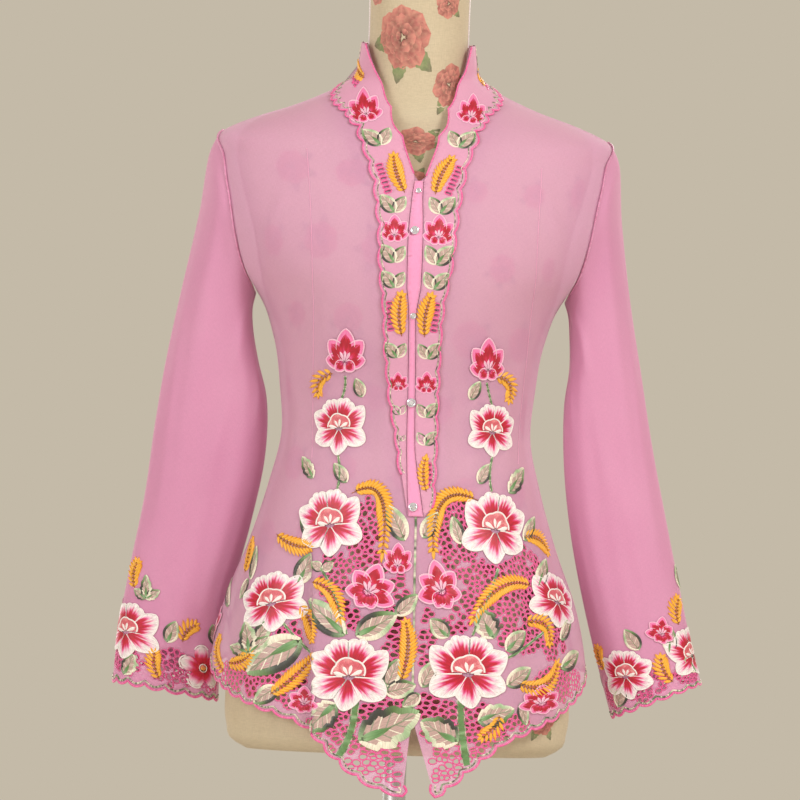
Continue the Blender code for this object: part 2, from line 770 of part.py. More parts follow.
class Sleeve:
    """A sleeve's surface. Its coordinates are SLEEVE_WIDTH times the way across, and the length down."""

    def __init__(self, rows, side, back):
        self.track = Track(rows)
        self.side = side
        self.back = back
        self.armhole = Track(ARMHOLE)

    def section_point(self, share, along):
        """The point of the plain tapering tube."""
        inner, inner_height, outer, outer_height, half_depth, behind = self.track.at(along)
        turn = math.pi * share
        middle = Vector(((inner + outer) / 2, behind, (inner_height + outer_height) / 2))
        half = Vector(((outer - inner) / 2, 0.0, (outer_height - inner_height) / 2))
        depth = half_depth * math.sin(turn) ** 0.9 * (1 if self.back else -1)
        return middle - half * math.cos(turn) + Vector((0.0, depth, 0.0))

    def armhole_point(self, share):
        """The point of the body's armhole, moved out so that the sleeve clears it."""
        level, angle = self.armhole.at(share)
        u = math.radians(angle) * REACH
        place = BODY.point(2 * SIDE_U - u if self.back else u, level)
        clear = 1.3 + 1.6 * (1 - share) ** 3
        return place + Vector((clear, 0.0, 0.0))

    def point(self, across, along):
        """The surface's point, which starts on the armhole and soon becomes the tube."""
        share = min(max(across / SLEEVE_WIDTH, 0.0), 1.0)
        place = self.section_point(share, along)
        blend = max(1 - along / ARMHOLE_BLEND, 0.0) ** 2
        place += (self.armhole_point(share) - self.section_point(share, 0.0)) * blend
        rise = 0.0
        for fold in SLEEVE_FOLDS:
            away = (share - fold.across) / fold.half_width
            rise += fold.rise * math.exp(-away * away) * fold_window(along, fold.low, fold.high, fold.fade)
        rise *= 1 - blend
        place.y += rise * (1 if self.back else -1)
        return Vector((place.x * self.side, place.y, place.z))


def build_sleeve_half(side, back, materials, collection):
    """The front or back half of one sleeve, split along its inner and outer edge. The left sleeve's
    front half is in two lengths, which meet at the elbow."""
    name = f"sleeve_{'left' if side > 0 else 'right'}_{'back' if back else 'front'}"
    surface = Sleeve(SLEEVE_LEFT if side > 0 else SLEEVE_RIGHT, side, back)
    low, high = 1.0, SLEEVE_WIDTH - 1.0
    top = [(min(max(row.along * SLEEVE_WIDTH, low), high), 0.0) for row in ARMHOLE]
    if side > 0 and not back:
        elbow = ELBOW - SEAM_HALF_GAP
        upper = [*top, *resample([(high, 0.0), (high, elbow), (low, elbow), (low, 0.0)], SLEEVE_STEP)[1:-1]]
        pattern = Pattern(upper, (), (), step=SLEEVE_STEP)
        cloth_object(f"{name}_upper", pattern.points, pattern.faces, surface.point, materials["pink"], collection)
        name = f"{name}_lower"
        top = resample([(low, ELBOW + SEAM_HALF_GAP), (high, ELBOW + SEAM_HALF_GAP)], SLEEVE_STEP)
    outer = resample([top[-1], (high, SLEEVE_LENGTH)], SLEEVE_STEP)[1:-1]
    inner = resample([(low, SLEEVE_LENGTH), top[0]], SLEEVE_STEP)[1:-1]
    cuff = scalloped([(high, SLEEVE_LENGTH), (low, SLEEVE_LENGTH)], CUFF_SCALLOP, side=-1)
    outline = [*top, *outer, *cuff, *inner]
    pockets = CUFF_POCKETS_BACK if back else CUFF_POCKETS_FRONT

    def in_pocket(place):
        for p in pockets:
            across = (place[0] - p.across * SLEEVE_WIDTH) / p.half_across
            along = (place[1] - p.along) / p.half_along
            if across * across + along * along < 1:
                return True
        return False

    corner = (0.0, SLEEVE_LENGTH - CUFF_CUTWORK_RUN)
    far_corner = (SLEEVE_WIDTH, SLEEVE_LENGTH)
    holes = cutwork_holes(in_pocket, corner, far_corner, [outline + outline[:1]], HOLE_SEED + 3 * side + back)
    pattern = Pattern(outline, (), holes, step=SLEEVE_STEP)
    cloth_object(name, pattern.points, pattern.faces, surface.point, materials["pink"], collection)
    return len(holes)


def build_strip(materials, collection):
    """The plain strip over the split, two columns of cells wide."""
    rows = []
    for row in STRIP:
        middle = (row.right_edge + row.left_edge) / 2
        across = (row.right_edge, middle, row.left_edge)
        rows.append([BODY.seen(x, row.height) for x in across])
    points = [place for row in rows for place in row]
    faces = []
    for k in range(len(rows) - 1):
        for j in range(2):
            a = 3 * k + j
            faces.append((a, a + 1, a + 4))
            faces.append((a, a + 4, a + 3))
    cloth_object(
        "placket",
        points,
        faces,
        lambda u, level: BODY.point(u, level, LAYER_RISE),
        materials["strip"],
        collection,
    )


def build_buttons(materials, collection):
    """Round faceted crystals on the strip, each with a girdle and a flat table."""
    for number, button in enumerate(BUTTONS, start=1):
        radius = button.diameter / 2
        height = 0.42 * button.diameter
        builder = bmesh.new()
        rings = []
        for share, size in ((0.0, 0.86), (BUTTON_GIRDLE, 1.0), (1.0, BUTTON_TABLE)):
            rings.append(
                [
                    builder.verts.new(
                        (
                            radius * size * math.cos(math.tau * k / BUTTON_SIDES) * MM,
                            radius * size * math.sin(math.tau * k / BUTTON_SIDES) * MM,
                            height * share * MM,
                        )
                    )
                    for k in range(BUTTON_SIDES)
                ]
            )
        loft(builder, rings)
        mesh = bpy.data.meshes.new(f"button_{number}")
        builder.to_mesh(mesh)
        builder.free()
        thing = new_object(f"button_{number}", mesh, materials["crystal"], collection)
        u, level = BODY.seen(button.across, button.height)
        normal = BODY.normal(u, level)
        place = BODY.point(u, level, LAYER_RISE + CLOTH_WALL / 2 + BUTTON_GAP)
        turn = normal.to_track_quat("Z", "Y").to_matrix().to_4x4()
        thing.matrix_world = Matrix.Translation(place * MM) @ turn


def loft(builder, rings):
    """Joins rings of as many points with walls, and closes both ends."""
    for lower, upper in zip(rings, rings[1:]):
        count = len(lower)
        for k in range(count):
            after = (k + 1) % count
            builder.faces.new((lower[k], lower[after], upper[after], upper[k]))
    builder.faces.new(list(reversed(rings[0])))
    builder.faces.new(rings[-1])


def ring_points(body, level):
    """The points of one level ring."""
    turns = [math.tau * k / FORM_SEGMENTS for k in range(FORM_SEGMENTS)]
    return [body.flat_point(turn * REACH, level) * MM for turn in turns]


def build_stand(materials, collection):
    """The dress form with its neck cap, the pole and the base."""
    builder = bmesh.new()
    rings = [[builder.verts.new(p) for p in ring_points(FORM, ring.level)] for ring in FORM_RINGS]
    loft(builder, rings)
    mesh = bpy.data.meshes.new("dress_form")
    builder.to_mesh(mesh)
    builder.free()
    new_object("dress_form", mesh, materials["linen"], collection)

    builder = bmesh.new()
    flat = [Vector((p.x, p.y, 0.0)) for p in ring_points(FORM, NECK_TOP - 1.0)]
    levels = ((FACE_GAP, 1.03), (CAP_HEIGHT * 0.6, 1.03), (CAP_HEIGHT * 0.9, 0.93), (CAP_HEIGHT, 0.8))
    rings = []
    for rise, size in levels:
        height = Vector((0.0, 0.0, (NECK_TOP + rise) * MM))
        rings.append([builder.verts.new(p * size + height) for p in flat])
    loft(builder, rings)
    mesh = bpy.data.meshes.new("neck_cap")
    builder.to_mesh(mesh)
    builder.free()
    new_object("neck_cap", mesh, materials["linen"], collection)

    pole_low = BASE_THICKNESS + FACE_GAP
    pole_high = FORM_BOTTOM - FACE_GAP
    for name, radius, low, high in (
        ("stand_pole", POLE_RADIUS, pole_low, pole_high),
        ("stand_base", BASE_RADIUS, 0.0, BASE_THICKNESS),
    ):
        builder = bmesh.new()
        bmesh.ops.create_cone(
            builder,
            cap_ends=True,
            segments=FORM_SEGMENTS if name == "stand_base" else 16,
            radius1=radius * MM,
            radius2=radius * MM,
            depth=(high - low) * MM,
        )
        mesh = bpy.data.meshes.new(name)
        builder.to_mesh(mesh)
        builder.free()
        thing = new_object(name, mesh, materials["steel"], collection)
        thing.location.z = (low + high) / 2 * MM
        if name == "stand_base":
            edge = thing.modifiers.new("edge", "BEVEL")
            edge.width = BASE_EDGE_BEVEL * MM
            edge.segments = 2
            edge.limit_method = "ANGLE"


def clear_scene():
    """Removes what the scene holds at the start."""
    for thing in list(bpy.data.objects):
        bpy.data.objects.remove(thing)


def main():
    """Builds the blouse and its stand."""
    clear_scene()
    collection = bpy.data.collections.new("kebaya_blouse")
    bpy.context.scene.collection.children.link(collection)
    materials = {
        "pink": make_material("cotton_voile", PINK, 0.85),
        "band": make_material("embroidered_band", PINK_BAND, 0.7),
        "strip": make_material("placket_cotton", PINK_STRIP, 0.75),
        "linen": make_material("form_linen", LINEN, 0.9),
        "steel": make_material("stand_steel", STEEL, 0.35, 1.0),
        "crystal": make_material("button_crystal", CRYSTAL, 0.08),
    }
    build_stand(materials, collection)
    gaps = 0
    for side in (-1, 1):
        gaps += build_front(side, materials, collection)
        for back in (False, True):
            gaps += build_sleeve_half(side, back, materials, collection)
    gaps += build_back(materials, collection)
    build_strip(materials, collection)
    build_buttons(materials, collection)
    print(f"cutwork gaps: {gaps}")


main()
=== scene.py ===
"""Kebaya blouse of sheer pink cotton on a limbless dress form, with its sewn flowers and cutwork.

The tables are in millimetres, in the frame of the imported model: +Z up, the front at -Y, left and right
the wearer's. A cloth piece is a flat pattern cut into triangles and laid on the surface of the body or
of a sleeve. The sewing is drawn flat, then laid on the same surface a little higher.
"""

import logging
import math
from collections.abc import Callable, Sequence
from dataclasses import dataclass, field
from enum import Enum
from functools import lru_cache
from typing import NamedTuple

import bmesh
import bpy
import numpy as np
from mathutils import Matrix, Vector
from mathutils.geometry import delaunay_2d_cdt
from mathutils.kdtree import KDTree


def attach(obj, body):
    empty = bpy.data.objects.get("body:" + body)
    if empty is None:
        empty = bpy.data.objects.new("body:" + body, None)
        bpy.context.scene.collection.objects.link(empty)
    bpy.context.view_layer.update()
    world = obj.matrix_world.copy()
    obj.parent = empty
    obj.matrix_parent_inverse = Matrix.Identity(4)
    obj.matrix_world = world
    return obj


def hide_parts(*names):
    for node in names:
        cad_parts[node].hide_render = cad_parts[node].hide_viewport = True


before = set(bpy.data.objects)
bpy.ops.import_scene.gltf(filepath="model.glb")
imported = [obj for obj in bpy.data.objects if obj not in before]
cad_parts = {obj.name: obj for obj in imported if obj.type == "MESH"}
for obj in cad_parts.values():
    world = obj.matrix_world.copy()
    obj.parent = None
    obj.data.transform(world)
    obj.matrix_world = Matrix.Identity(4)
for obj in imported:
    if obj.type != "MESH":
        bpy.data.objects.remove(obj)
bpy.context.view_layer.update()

LOG = logging.getLogger("kebaya")
Array = np.ndarray
Colour = tuple[float, float, float]
MM = 0.001
BODY_NAME = "root"


# Sizes of the garment.


class Ring(NamedTuple):
    """One level ring of the body: its half width and its depth in front and behind."""

    level: float
    half: float
    front_level: float
    front: float
    back_level: float
    back: float


CLOTH_RINGS = (
    Ring(270, 191, 270, 127, 270, 122),
    Ring(350, 190, 350, 127, 350, 123),
    Ring(417, 187, 417, 126, 417, 124),
    Ring(473, 176, 473, 122, 473, 120),
    Ring(535, 153, 535, 112, 535, 111),
    Ring(594, 135, 594, 103, 594, 99),
    Ring(645, 124, 645, 98, 645, 91),
    Ring(690, 127, 690, 102, 690, 90),
    Ring(740, 135, 740, 116, 740, 96),
    Ring(782, 152, 782, 126, 782, 102),
    Ring(805, 172, 805, 128, 806, 105),
    Ring(840, 191, 840, 126, 842, 108),
    Ring(880, 200, 879, 117, 884, 107),
    Ring(919, 199, 914, 104, 924, 101),
    Ring(944, 191, 936, 93, 950, 91),
    Ring(958, 160, 948, 85, 964, 81),
    Ring(971, 122, 958, 77, 977, 71),
    Ring(984, 92, 968, 69, 988, 62),
    Ring(994, 72, 977, 63, 997, 55),
    Ring(1003, 60, 986, 59, 1005, 51),
    Ring(1018, 57, 1001, 57, 1019, 50),
    Ring(1036, 55, 1018, 56, 1036, 49),
)
FORM_RINGS = (
    Ring(328, 150, 328, 92, 328, 100),
    Ring(335, 163, 335, 101, 335, 110),
    Ring(352, 170, 352, 105, 352, 114),
    Ring(384, 172, 384, 106, 384, 115),
    Ring(420, 171, 420, 107, 420, 115),
    Ring(473, 166, 473, 106, 473, 112),
    Ring(535, 147, 535, 98, 535, 103),
    Ring(594, 129, 594, 92, 594, 92),
    Ring(645, 118, 645, 87, 645, 84),
    Ring(690, 121, 690, 92, 690, 83),
    Ring(740, 129, 740, 106, 740, 90),
    Ring(782, 145, 782, 116, 782, 95),
    Ring(850, 160, 850, 114, 850, 100),
    Ring(900, 174, 898, 101, 902, 98),
    Ring(928, 178, 920, 86, 932, 86),
    Ring(943, 174, 932, 79, 946, 79),
    Ring(957.6, 156, 939, 72, 956, 71),
    Ring(970.9, 118, 949, 66, 970, 63),
    Ring(982.6, 88, 963, 64, 984, 57),
    Ring(990, 69, 972, 58, 992, 50),
    Ring(999, 55, 982, 53, 1001, 46),
    Ring(1014, 49.5, 998, 50, 1015, 43),
    Ring(1038, 49, 1028, 49, 1038, 42),
    Ring(1100, 49.5, 1100, 49, 1100, 43),
)
REACH = 150.0
SECTION_POWER = 2.0 / 2.2
SIDE_U = REACH * math.pi / 2
COLLAR_TOP = 1036.0
NECK_BASE = 1003.0
SHOULDER_TIP = 944.0
UNDERARM = 782.0
HEM_SIDE = 418.0
SEAM_HALF_GAP = 0.5
SPLIT_HALF_GAP = 0.4
LAYER_RISE = 2.0
CLOTH_THICKNESS = 0.6


class ArmholeRow(NamedTuple):
    """A point of the armhole's front or back half, from the underarm up."""

    along: float
    level: float
    angle: float


ARMHOLE = (
    ArmholeRow(0.00, 782, 90),
    ArmholeRow(0.10, 788, 82),
    ArmholeRow(0.24, 803, 73),
    ArmholeRow(0.40, 830, 66.5),
    ArmholeRow(0.55, 862, 64),
    ArmholeRow(0.70, 893, 66),
    ArmholeRow(0.85, 921, 72),
    ArmholeRow(0.94, 936, 81),
    ArmholeRow(1.00, 944, 90),
)


class Seen(NamedTuple):
    """A point of the front as it is seen from before it: across from the middle, and height."""

    across: float
    height: float


NECKLINE = {
    -1: (Seen(-0.5, 903), Seen(-13, 940), Seen(-25, 969), Seen(-42, 1008)),
    1: (Seen(11.5, 901), Seen(23, 941), Seen(31, 969), Seen(45, 1006)),
}
NECKLINE_TOP_ANGLE = 67.0
SPLIT = (Seen(12.6, 556), Seen(13.2, 500), Seen(14.2, 430), Seen(15, 366))
HEM = {
    -1: (
        Seen(9, 300),
        Seen(7, 293),
        Seen(-14, 297),
        Seen(-40, 311),
        Seen(-60, 328),
        Seen(-84, 353),
        Seen(-113, 366),
        Seen(-164, 386),
    ),
    1: (Seen(36, 302), Seen(42, 293), Seen(56, 305), Seen(73, 321), Seen(107, 348), Seen(157, 373)),
}


class StripRow(NamedTuple):
    """The plain strip over the split at one height."""

    height: float
    right_edge: float
    left_edge: float


STRIP = (
    StripRow(896, 0.5, 9.0),
    StripRow(879, -1.5, 8.5),
    StripRow(860, -3.0, 9.5),
    StripRow(841, -4.0, 10.0),
    StripRow(816, -4.0, 10.0),
    StripRow(790, -3.5, 9.5),
    StripRow(774, -1.5, 7.0),
    StripRow(758, -0.5, 5.5),
    StripRow(732, 0.0, 6.5),
    StripRow(706, 0.5, 7.0),
    StripRow(680, 1.0, 7.5),
    StripRow(655, 1.0, 8.0),
    StripRow(630, 1.5, 9.0),
    StripRow(608, 2.5, 12.0),
    StripRow(586, 3.5, 16.0),
    StripRow(565, 5.0, 19.5),
)
STRIP_SIDE_GAP = 0.6
LAPEL = {
    -1: (
        Seen(-67, 964),
        Seen(-54, 949),
        Seen(-50, 932),
        Seen(-44, 915),
        Seen(-37, 893),
        Seen(-31, 849),
        Seen(-27, 789),
        Seen(-22, 729),
        Seen(-16, 680),
        Seen(-8, 640),
        Seen(-3, 606),
    ),
    1: (
        Seen(68, 965),
        Seen(58, 948),
        Seen(56, 931),
        Seen(50, 914),
        Seen(46, 893),
        Seen(42, 864),
        Seen(39, 826),
        Seen(34, 790),
        Seen(30, 754),
        Seen(29, 700),
        Seen(29, 640),
        Seen(28, 574),
    ),
}
LAPEL_COLLAR = ((86.0, 1036.0), (86.0, 1014.0), (85.5, 994.0))


class Scallop(NamedTuple):
    """One bump of a scalloped edge."""

    pitch: float
    depth: float


HEM_SCALLOP = Scallop(20.0, 4.0)
LAPEL_SCALLOP = Scallop(23.0, 2.4)
CUFF_SCALLOP = Scallop(20.0, 4.6)
BUMP_POINTS = 8
POCKET_GROW = 1.5


class Pocket(NamedTuple):
    """A cutwork pocket between the sewn flowers, an ellipse seen from before or behind."""

    across: float
    height: float
    half_across: float
    half_height: float


POCKETS = {
    -1: (
        Pocket(-35, 549, 8, 24),
        Pocket(-47, 501, 23, 29),
        Pocket(0, 496, 13, 8),
        Pocket(-28, 464, 24, 11),
        Pocket(-4, 447, 7, 22),
        Pocket(-112, 455, 14, 13),
        Pocket(-145, 399, 27, 12),
        Pocket(-107, 391, 14, 13),
        Pocket(-12, 377, 27, 11),
        Pocket(-65, 353, 20, 18),
        Pocket(-14, 319, 29, 22),
    ),
    1: (
        Pocket(53, 551, 12, 23),
        Pocket(71, 505, 19, 25),
        Pocket(112, 516, 17, 16),
        Pocket(119, 472, 24, 26),
        Pocket(44, 465, 19, 11),
        Pocket(25, 446, 7, 22),
        Pocket(150, 449, 9, 15),
        Pocket(158, 404, 16, 12),
        Pocket(40, 379, 20, 11),
        Pocket(47, 329, 25, 30),
        Pocket(79, 354, 14, 21),
        Pocket(107, 362, 19, 10),
    ),
    0: (
        Pocket(-120, 455, 22, 20),
        Pocket(-40, 448, 24, 18),
        Pocket(44, 450, 24, 19),
        Pocket(122, 454, 22, 20),
    ),
}


class Fold(NamedTuple):
    """A soft fold as a ridge along a straight line, which fades at both ends."""

    low_across: float
    low_height: float
    high_across: float
    high_height: float
    half_width: float
    rise: float
    fade: float


FRONT_FOLDS = (
    Fold(-20, 560, -23, 760, 9, 2.4, 50),
    Fold(40, 560, 37, 760, 10, 2.4, 50),
    Fold(118, 300, 100, 560, 15, 4.0, 90),
    Fold(158, 330, 130, 560, 12, 3.0, 80),
    Fold(72, 230, 66, 470, 16, 2.5, 90),
    Fold(-128, 700, -146, 800, 8, 1.8, 30),
    Fold(127, 690, 148, 795, 7, 1.8, 30),
    Fold(-138, 330, -122, 560, 17, 3.0, 90),
)
BACK_FOLDS = (
    Fold(-132, 330, -112, 600, 18, 5.0, 110),
    Fold(-58, 330, -45, 640, 16, 4.0, 120),
    Fold(12, 330, 8, 560, 15, 3.2, 100),
    Fold(74, 330, 55, 660, 17, 4.6, 120),
    Fold(140, 330, 118, 580, 15, 3.8, 100),
    Fold(-60, 720, -95, 880, 10, 2.0, 60),
    Fold(66, 700, 100, 870, 11, 2.2, 60),
)
# Small creases that only the worn cloth has.
FRONT_CREASES = (
    Fold(-118, 590, -104, 690, 5, 1.0, 40),
    Fold(-100, 640, -128, 742, 6, 1.1, 40),
    Fold(104, 600, 96, 700, 5, 0.9, 40),
    Fold(90, 640, 124, 752, 6, 1.1, 40),
    Fold(-150, 830, -120, 900, 7, 1.1, 30),
    Fold(150, 826, 126, 905, 6, 1.0, 30),
    Fold(-96, 905, -60, 940, 8, 0.8, 25),
    Fold(100, 900, 66, 938, 7, 0.8, 25),
    Fold(-60, 600, -66, 700, 6, 0.8, 40),
    Fold(70, 590, 62, 705, 6, 0.8, 40),
    Fold(-160, 400, -140, 520, 7, 1.6, 50),
    Fold(172, 390, 148, 520, 7, 1.6, 50),
)
BACK_CREASES = (
    Fold(-90, 560, -70, 700, 6, 1.0, 50),
    Fold(30, 580, 22, 720, 7, 1.0, 50),
    Fold(100, 540, 84, 690, 6, 1.2, 50),
    Fold(-120, 800, -100, 900, 7, 1.0, 30),
    Fold(122, 790, 104, 905, 7, 1.1, 30),
    Fold(-20, 350, -16, 560, 7, 1.4, 60),
)
DEEP_FOLD_TOP = Seen(-90, 562)
DEEP_FOLD_LOW = Seen(-83, 330)
DEEP_FOLD_CUT = 366.0
DEEP_FOLD_DROP = 10.0
DEEP_FOLD_STEP = 3.0
DEEP_FOLD_RUNOUT = 34.0
DEEP_FOLD_FADE = 110.0


class SleeveRow(NamedTuple):
    """A sleeve's section: both edges seen from before, its half depth and how far it hangs behind."""

    along: float
    inner: float
    inner_height: float
    outer: float
    outer_height: float
    half_depth: float
    behind: float


SLEEVES = {
    -1: (
        SleeveRow(0, 154.5, 781, 191, 944, 53, 0),
        SleeveRow(28, 157.5, 769, 203, 922, 52, 0),
        SleeveRow(75, 157, 748, 214, 858, 47, 2),
        SleeveRow(130, 151, 716, 228, 788, 41, 5),
        SleeveRow(190, 141, 676, 241, 720, 35, 10),
        SleeveRow(260, 141, 620, 251, 652, 31, 20),
        SleeveRow(340, 154, 549, 260, 576, 29, 36),
        SleeveRow(420, 172, 474, 274, 497, 28, 50),
        SleeveRow(480, 180, 417, 283, 438, 27, 60),
        SleeveRow(530, 181, 371, 287, 387, 26, 66),
    ),
    1: (
        SleeveRow(0, 154.5, 781, 191, 944, 53, 0),
        SleeveRow(28, 158.5, 770, 202, 924, 51, 0),
        SleeveRow(75, 161, 748, 209, 862, 45, 2),
        SleeveRow(130, 162, 716, 219, 790, 39, 4),
        SleeveRow(190, 158, 678, 233, 714, 35, 6),
        SleeveRow(260, 160, 618, 247, 640, 33, 10),
        SleeveRow(340, 170, 545, 265, 560, 32, 14),
        SleeveRow(420, 187, 470, 283, 483, 31, 18),
        SleeveRow(480, 202, 415, 295, 434, 30, 22),
        SleeveRow(530, 216, 368, 304, 405, 29, 24),
    ),
}
SLEEVE_LENGTH = 530.0
SLEEVE_HALF = 150.0
SLEEVE_SEAM_CLEAR = 0.3
ARMHOLE_BLEND = 70.0


class SleeveFold(NamedTuple):
    """A fold along a sleeve, from one share of its width to another."""

    across: float
    across_low: float
    low: float
    high: float
    half_width: float
    rise: float
    fade: float


SLEEVE_FOLDS = (
    SleeveFold(0.66, 0.66, -60, 430, 0.09, 3.4, 120),
    SleeveFold(0.30, 0.30, 40, 520, 0.07, 2.6, 130),
    SleeveFold(0.46, 0.46, 200, 600, 0.06, 2.0, 110),
)
SLEEVE_CREASES = (
    SleeveFold(0.10, 0.42, 10, 190, 0.045, 2.6, 50),
    SleeveFold(0.04, 0.24, 60, 260, 0.04, 2.4, 60),
    SleeveFold(0.82, 0.74, 120, 400, 0.045, 2.2, 90),
    SleeveFold(0.52, 0.60, 250, 430, 0.04, 1.8, 60),
    SleeveFold(0.16, 0.22, 300, 470, 0.04, 1.8, 60),
    SleeveFold(0.88, 0.90, 20, 260, 0.04, -1.8, 70),
    SleeveFold(0.36, 0.50, 150, 330, 0.035, 1.4, 70),
)


class CuffPocket(NamedTuple):
    """A cutwork pocket near the cuff, in shares of the half width and lengths down the sleeve."""

    across: float
    along: float
    half_across: float
    half_along: float


CUFF_POCKETS = (
    CuffPocket(0.80, 504, 22, 17),
    CuffPocket(0.45, 504, 24, 18),
    CuffPocket(0.19, 506, 18, 15),
    CuffPocket(1.30, 504, 22, 17),
    CuffPocket(1.66, 505, 22, 17),
)


class Button(NamedTuple):
    """A crystal button, seen from before."""

    across: float
    height: float
    diameter: float


BUTTONS = (
    Button(4.6, 886, 5.0),
    Button(2.2, 847, 7.5),
    Button(3.2, 764, 5.5),
    Button(4.2, 678, 8.0),
    Button(9.2, 574, 8.0),
)
BUTTON_LIFT = LAYER_RISE + 0.6 + 0.5


# Colours and finishes.


def dye(red: float, green: float, blue: float) -> Colour:
    """A colour for shaders from its everyday values of 0 to 255.

    Args:
        red: The red value.
        green: The green value.
        blue: The blue value.

    Returns:
        The linear red, green and blue, each from 0 to 1.
    """
    shares = (red / 255, green / 255, blue / 255)
    linear = [s / 12.92 if s <= 0.04045 else ((s + 0.055) / 1.055) ** 2.4 for s in shares]
    return (linear[0], linear[1], linear[2])


class Thread(Enum):
    """The colours of the sewing threads."""

    WHITE = dye(250, 243, 240)
    PEARL = dye(238, 226, 228)
    BLUSH = dye(247, 196, 218)
    PINK = dye(246, 130, 184)
    HOT = dye(240, 88, 158)
    RED = dye(206, 18, 52)
    DEEP_RED = dye(170, 8, 40)
    CORAL = dye(214, 96, 108)
    CORAL_LIGHT = dye(240, 160, 160)
    ROSE = dye(140, 40, 56)
    ROSE_LIGHT = dye(204, 112, 108)
    ROSE_DARK = dye(104, 26, 40)
    BAR = dye(232, 106, 160)
    BAR_DARK = dye(196, 70, 122)
    LEAF_BASE = dye(198, 166, 158)
    LEAF_VEIN = dye(150, 152, 130)
    CREAM = dye(243, 236, 214)
    CELADON = dye(158, 190, 142)
    MOSS = dye(98, 128, 74)
    CHARCOAL = dye(62, 62, 56)
    FERN_GREEN = dye(104, 150, 92)
    GOLD = dye(252, 186, 58)
    AMBER = dye(234, 150, 36)
    BRONZE = dye(170, 100, 28)
    SEAM = dye(226, 158, 194)
    SEAM_DEEP = dye(210, 130, 168)


Stops = Sequence[tuple[float, Thread]]
PETAL_STOPS: Stops = (
    (0.0, Thread.DEEP_RED),
    (0.46, Thread.RED),
    (0.58, Thread.HOT),
    (0.68, Thread.BLUSH),
    (0.80, Thread.PEARL),
    (1.0, Thread.WHITE),
)
LOTUS_STOPS: Stops = ((0.0, Thread.HOT), (0.5, Thread.PINK), (1.0, Thread.PINK))
HEART_STOPS: Stops = (
    (0.0, Thread.HOT),
    (0.3, Thread.RED),
    (0.6, Thread.DEEP_RED),
    (0.9, Thread.RED),
    (1.0, Thread.HOT),
)
GOLD_STOPS: Stops = ((0.0, Thread.AMBER), (0.3, Thread.GOLD), (0.8, Thread.GOLD), (1.0, Thread.AMBER))
LEAF_STOPS: Stops = ((0.0, Thread.LEAF_BASE), (1.0, Thread.LEAF_BASE))
SATIN_STOPS: Stops = ((0.0, Thread.CELADON), (0.5, Thread.FERN_GREEN), (1.0, Thread.MOSS))
STEM_STOPS: Stops = (
    (0.0, Thread.CELADON),
    (0.3, Thread.FERN_GREEN),
    (0.6, Thread.MOSS),
    (1.0, Thread.FERN_GREEN),
)
VARIED_STOPS: Stops = (
    (0.0, Thread.CREAM),
    (0.2, Thread.CELADON),
    (0.4, Thread.CHARCOAL),
    (0.55, Thread.MOSS),
    (0.75, Thread.CREAM),
    (0.9, Thread.CHARCOAL),
    (1.0, Thread.CREAM),
)


def shaded(stops: Stops, share: Array) -> Array:
    """Reads a row of thread colours at any shares along it.

    Args:
        stops: The colours and the shares where they lie.
        share: The shares to read.

    Returns:
        One row of red, green and blue for each share.
    """
    keys = [key for key, _ in stops]
    table = np.array([thread.value for _, thread in stops])
    return np.stack([np.interp(share, keys, table[:, k]) for k in range(3)], axis=-1)


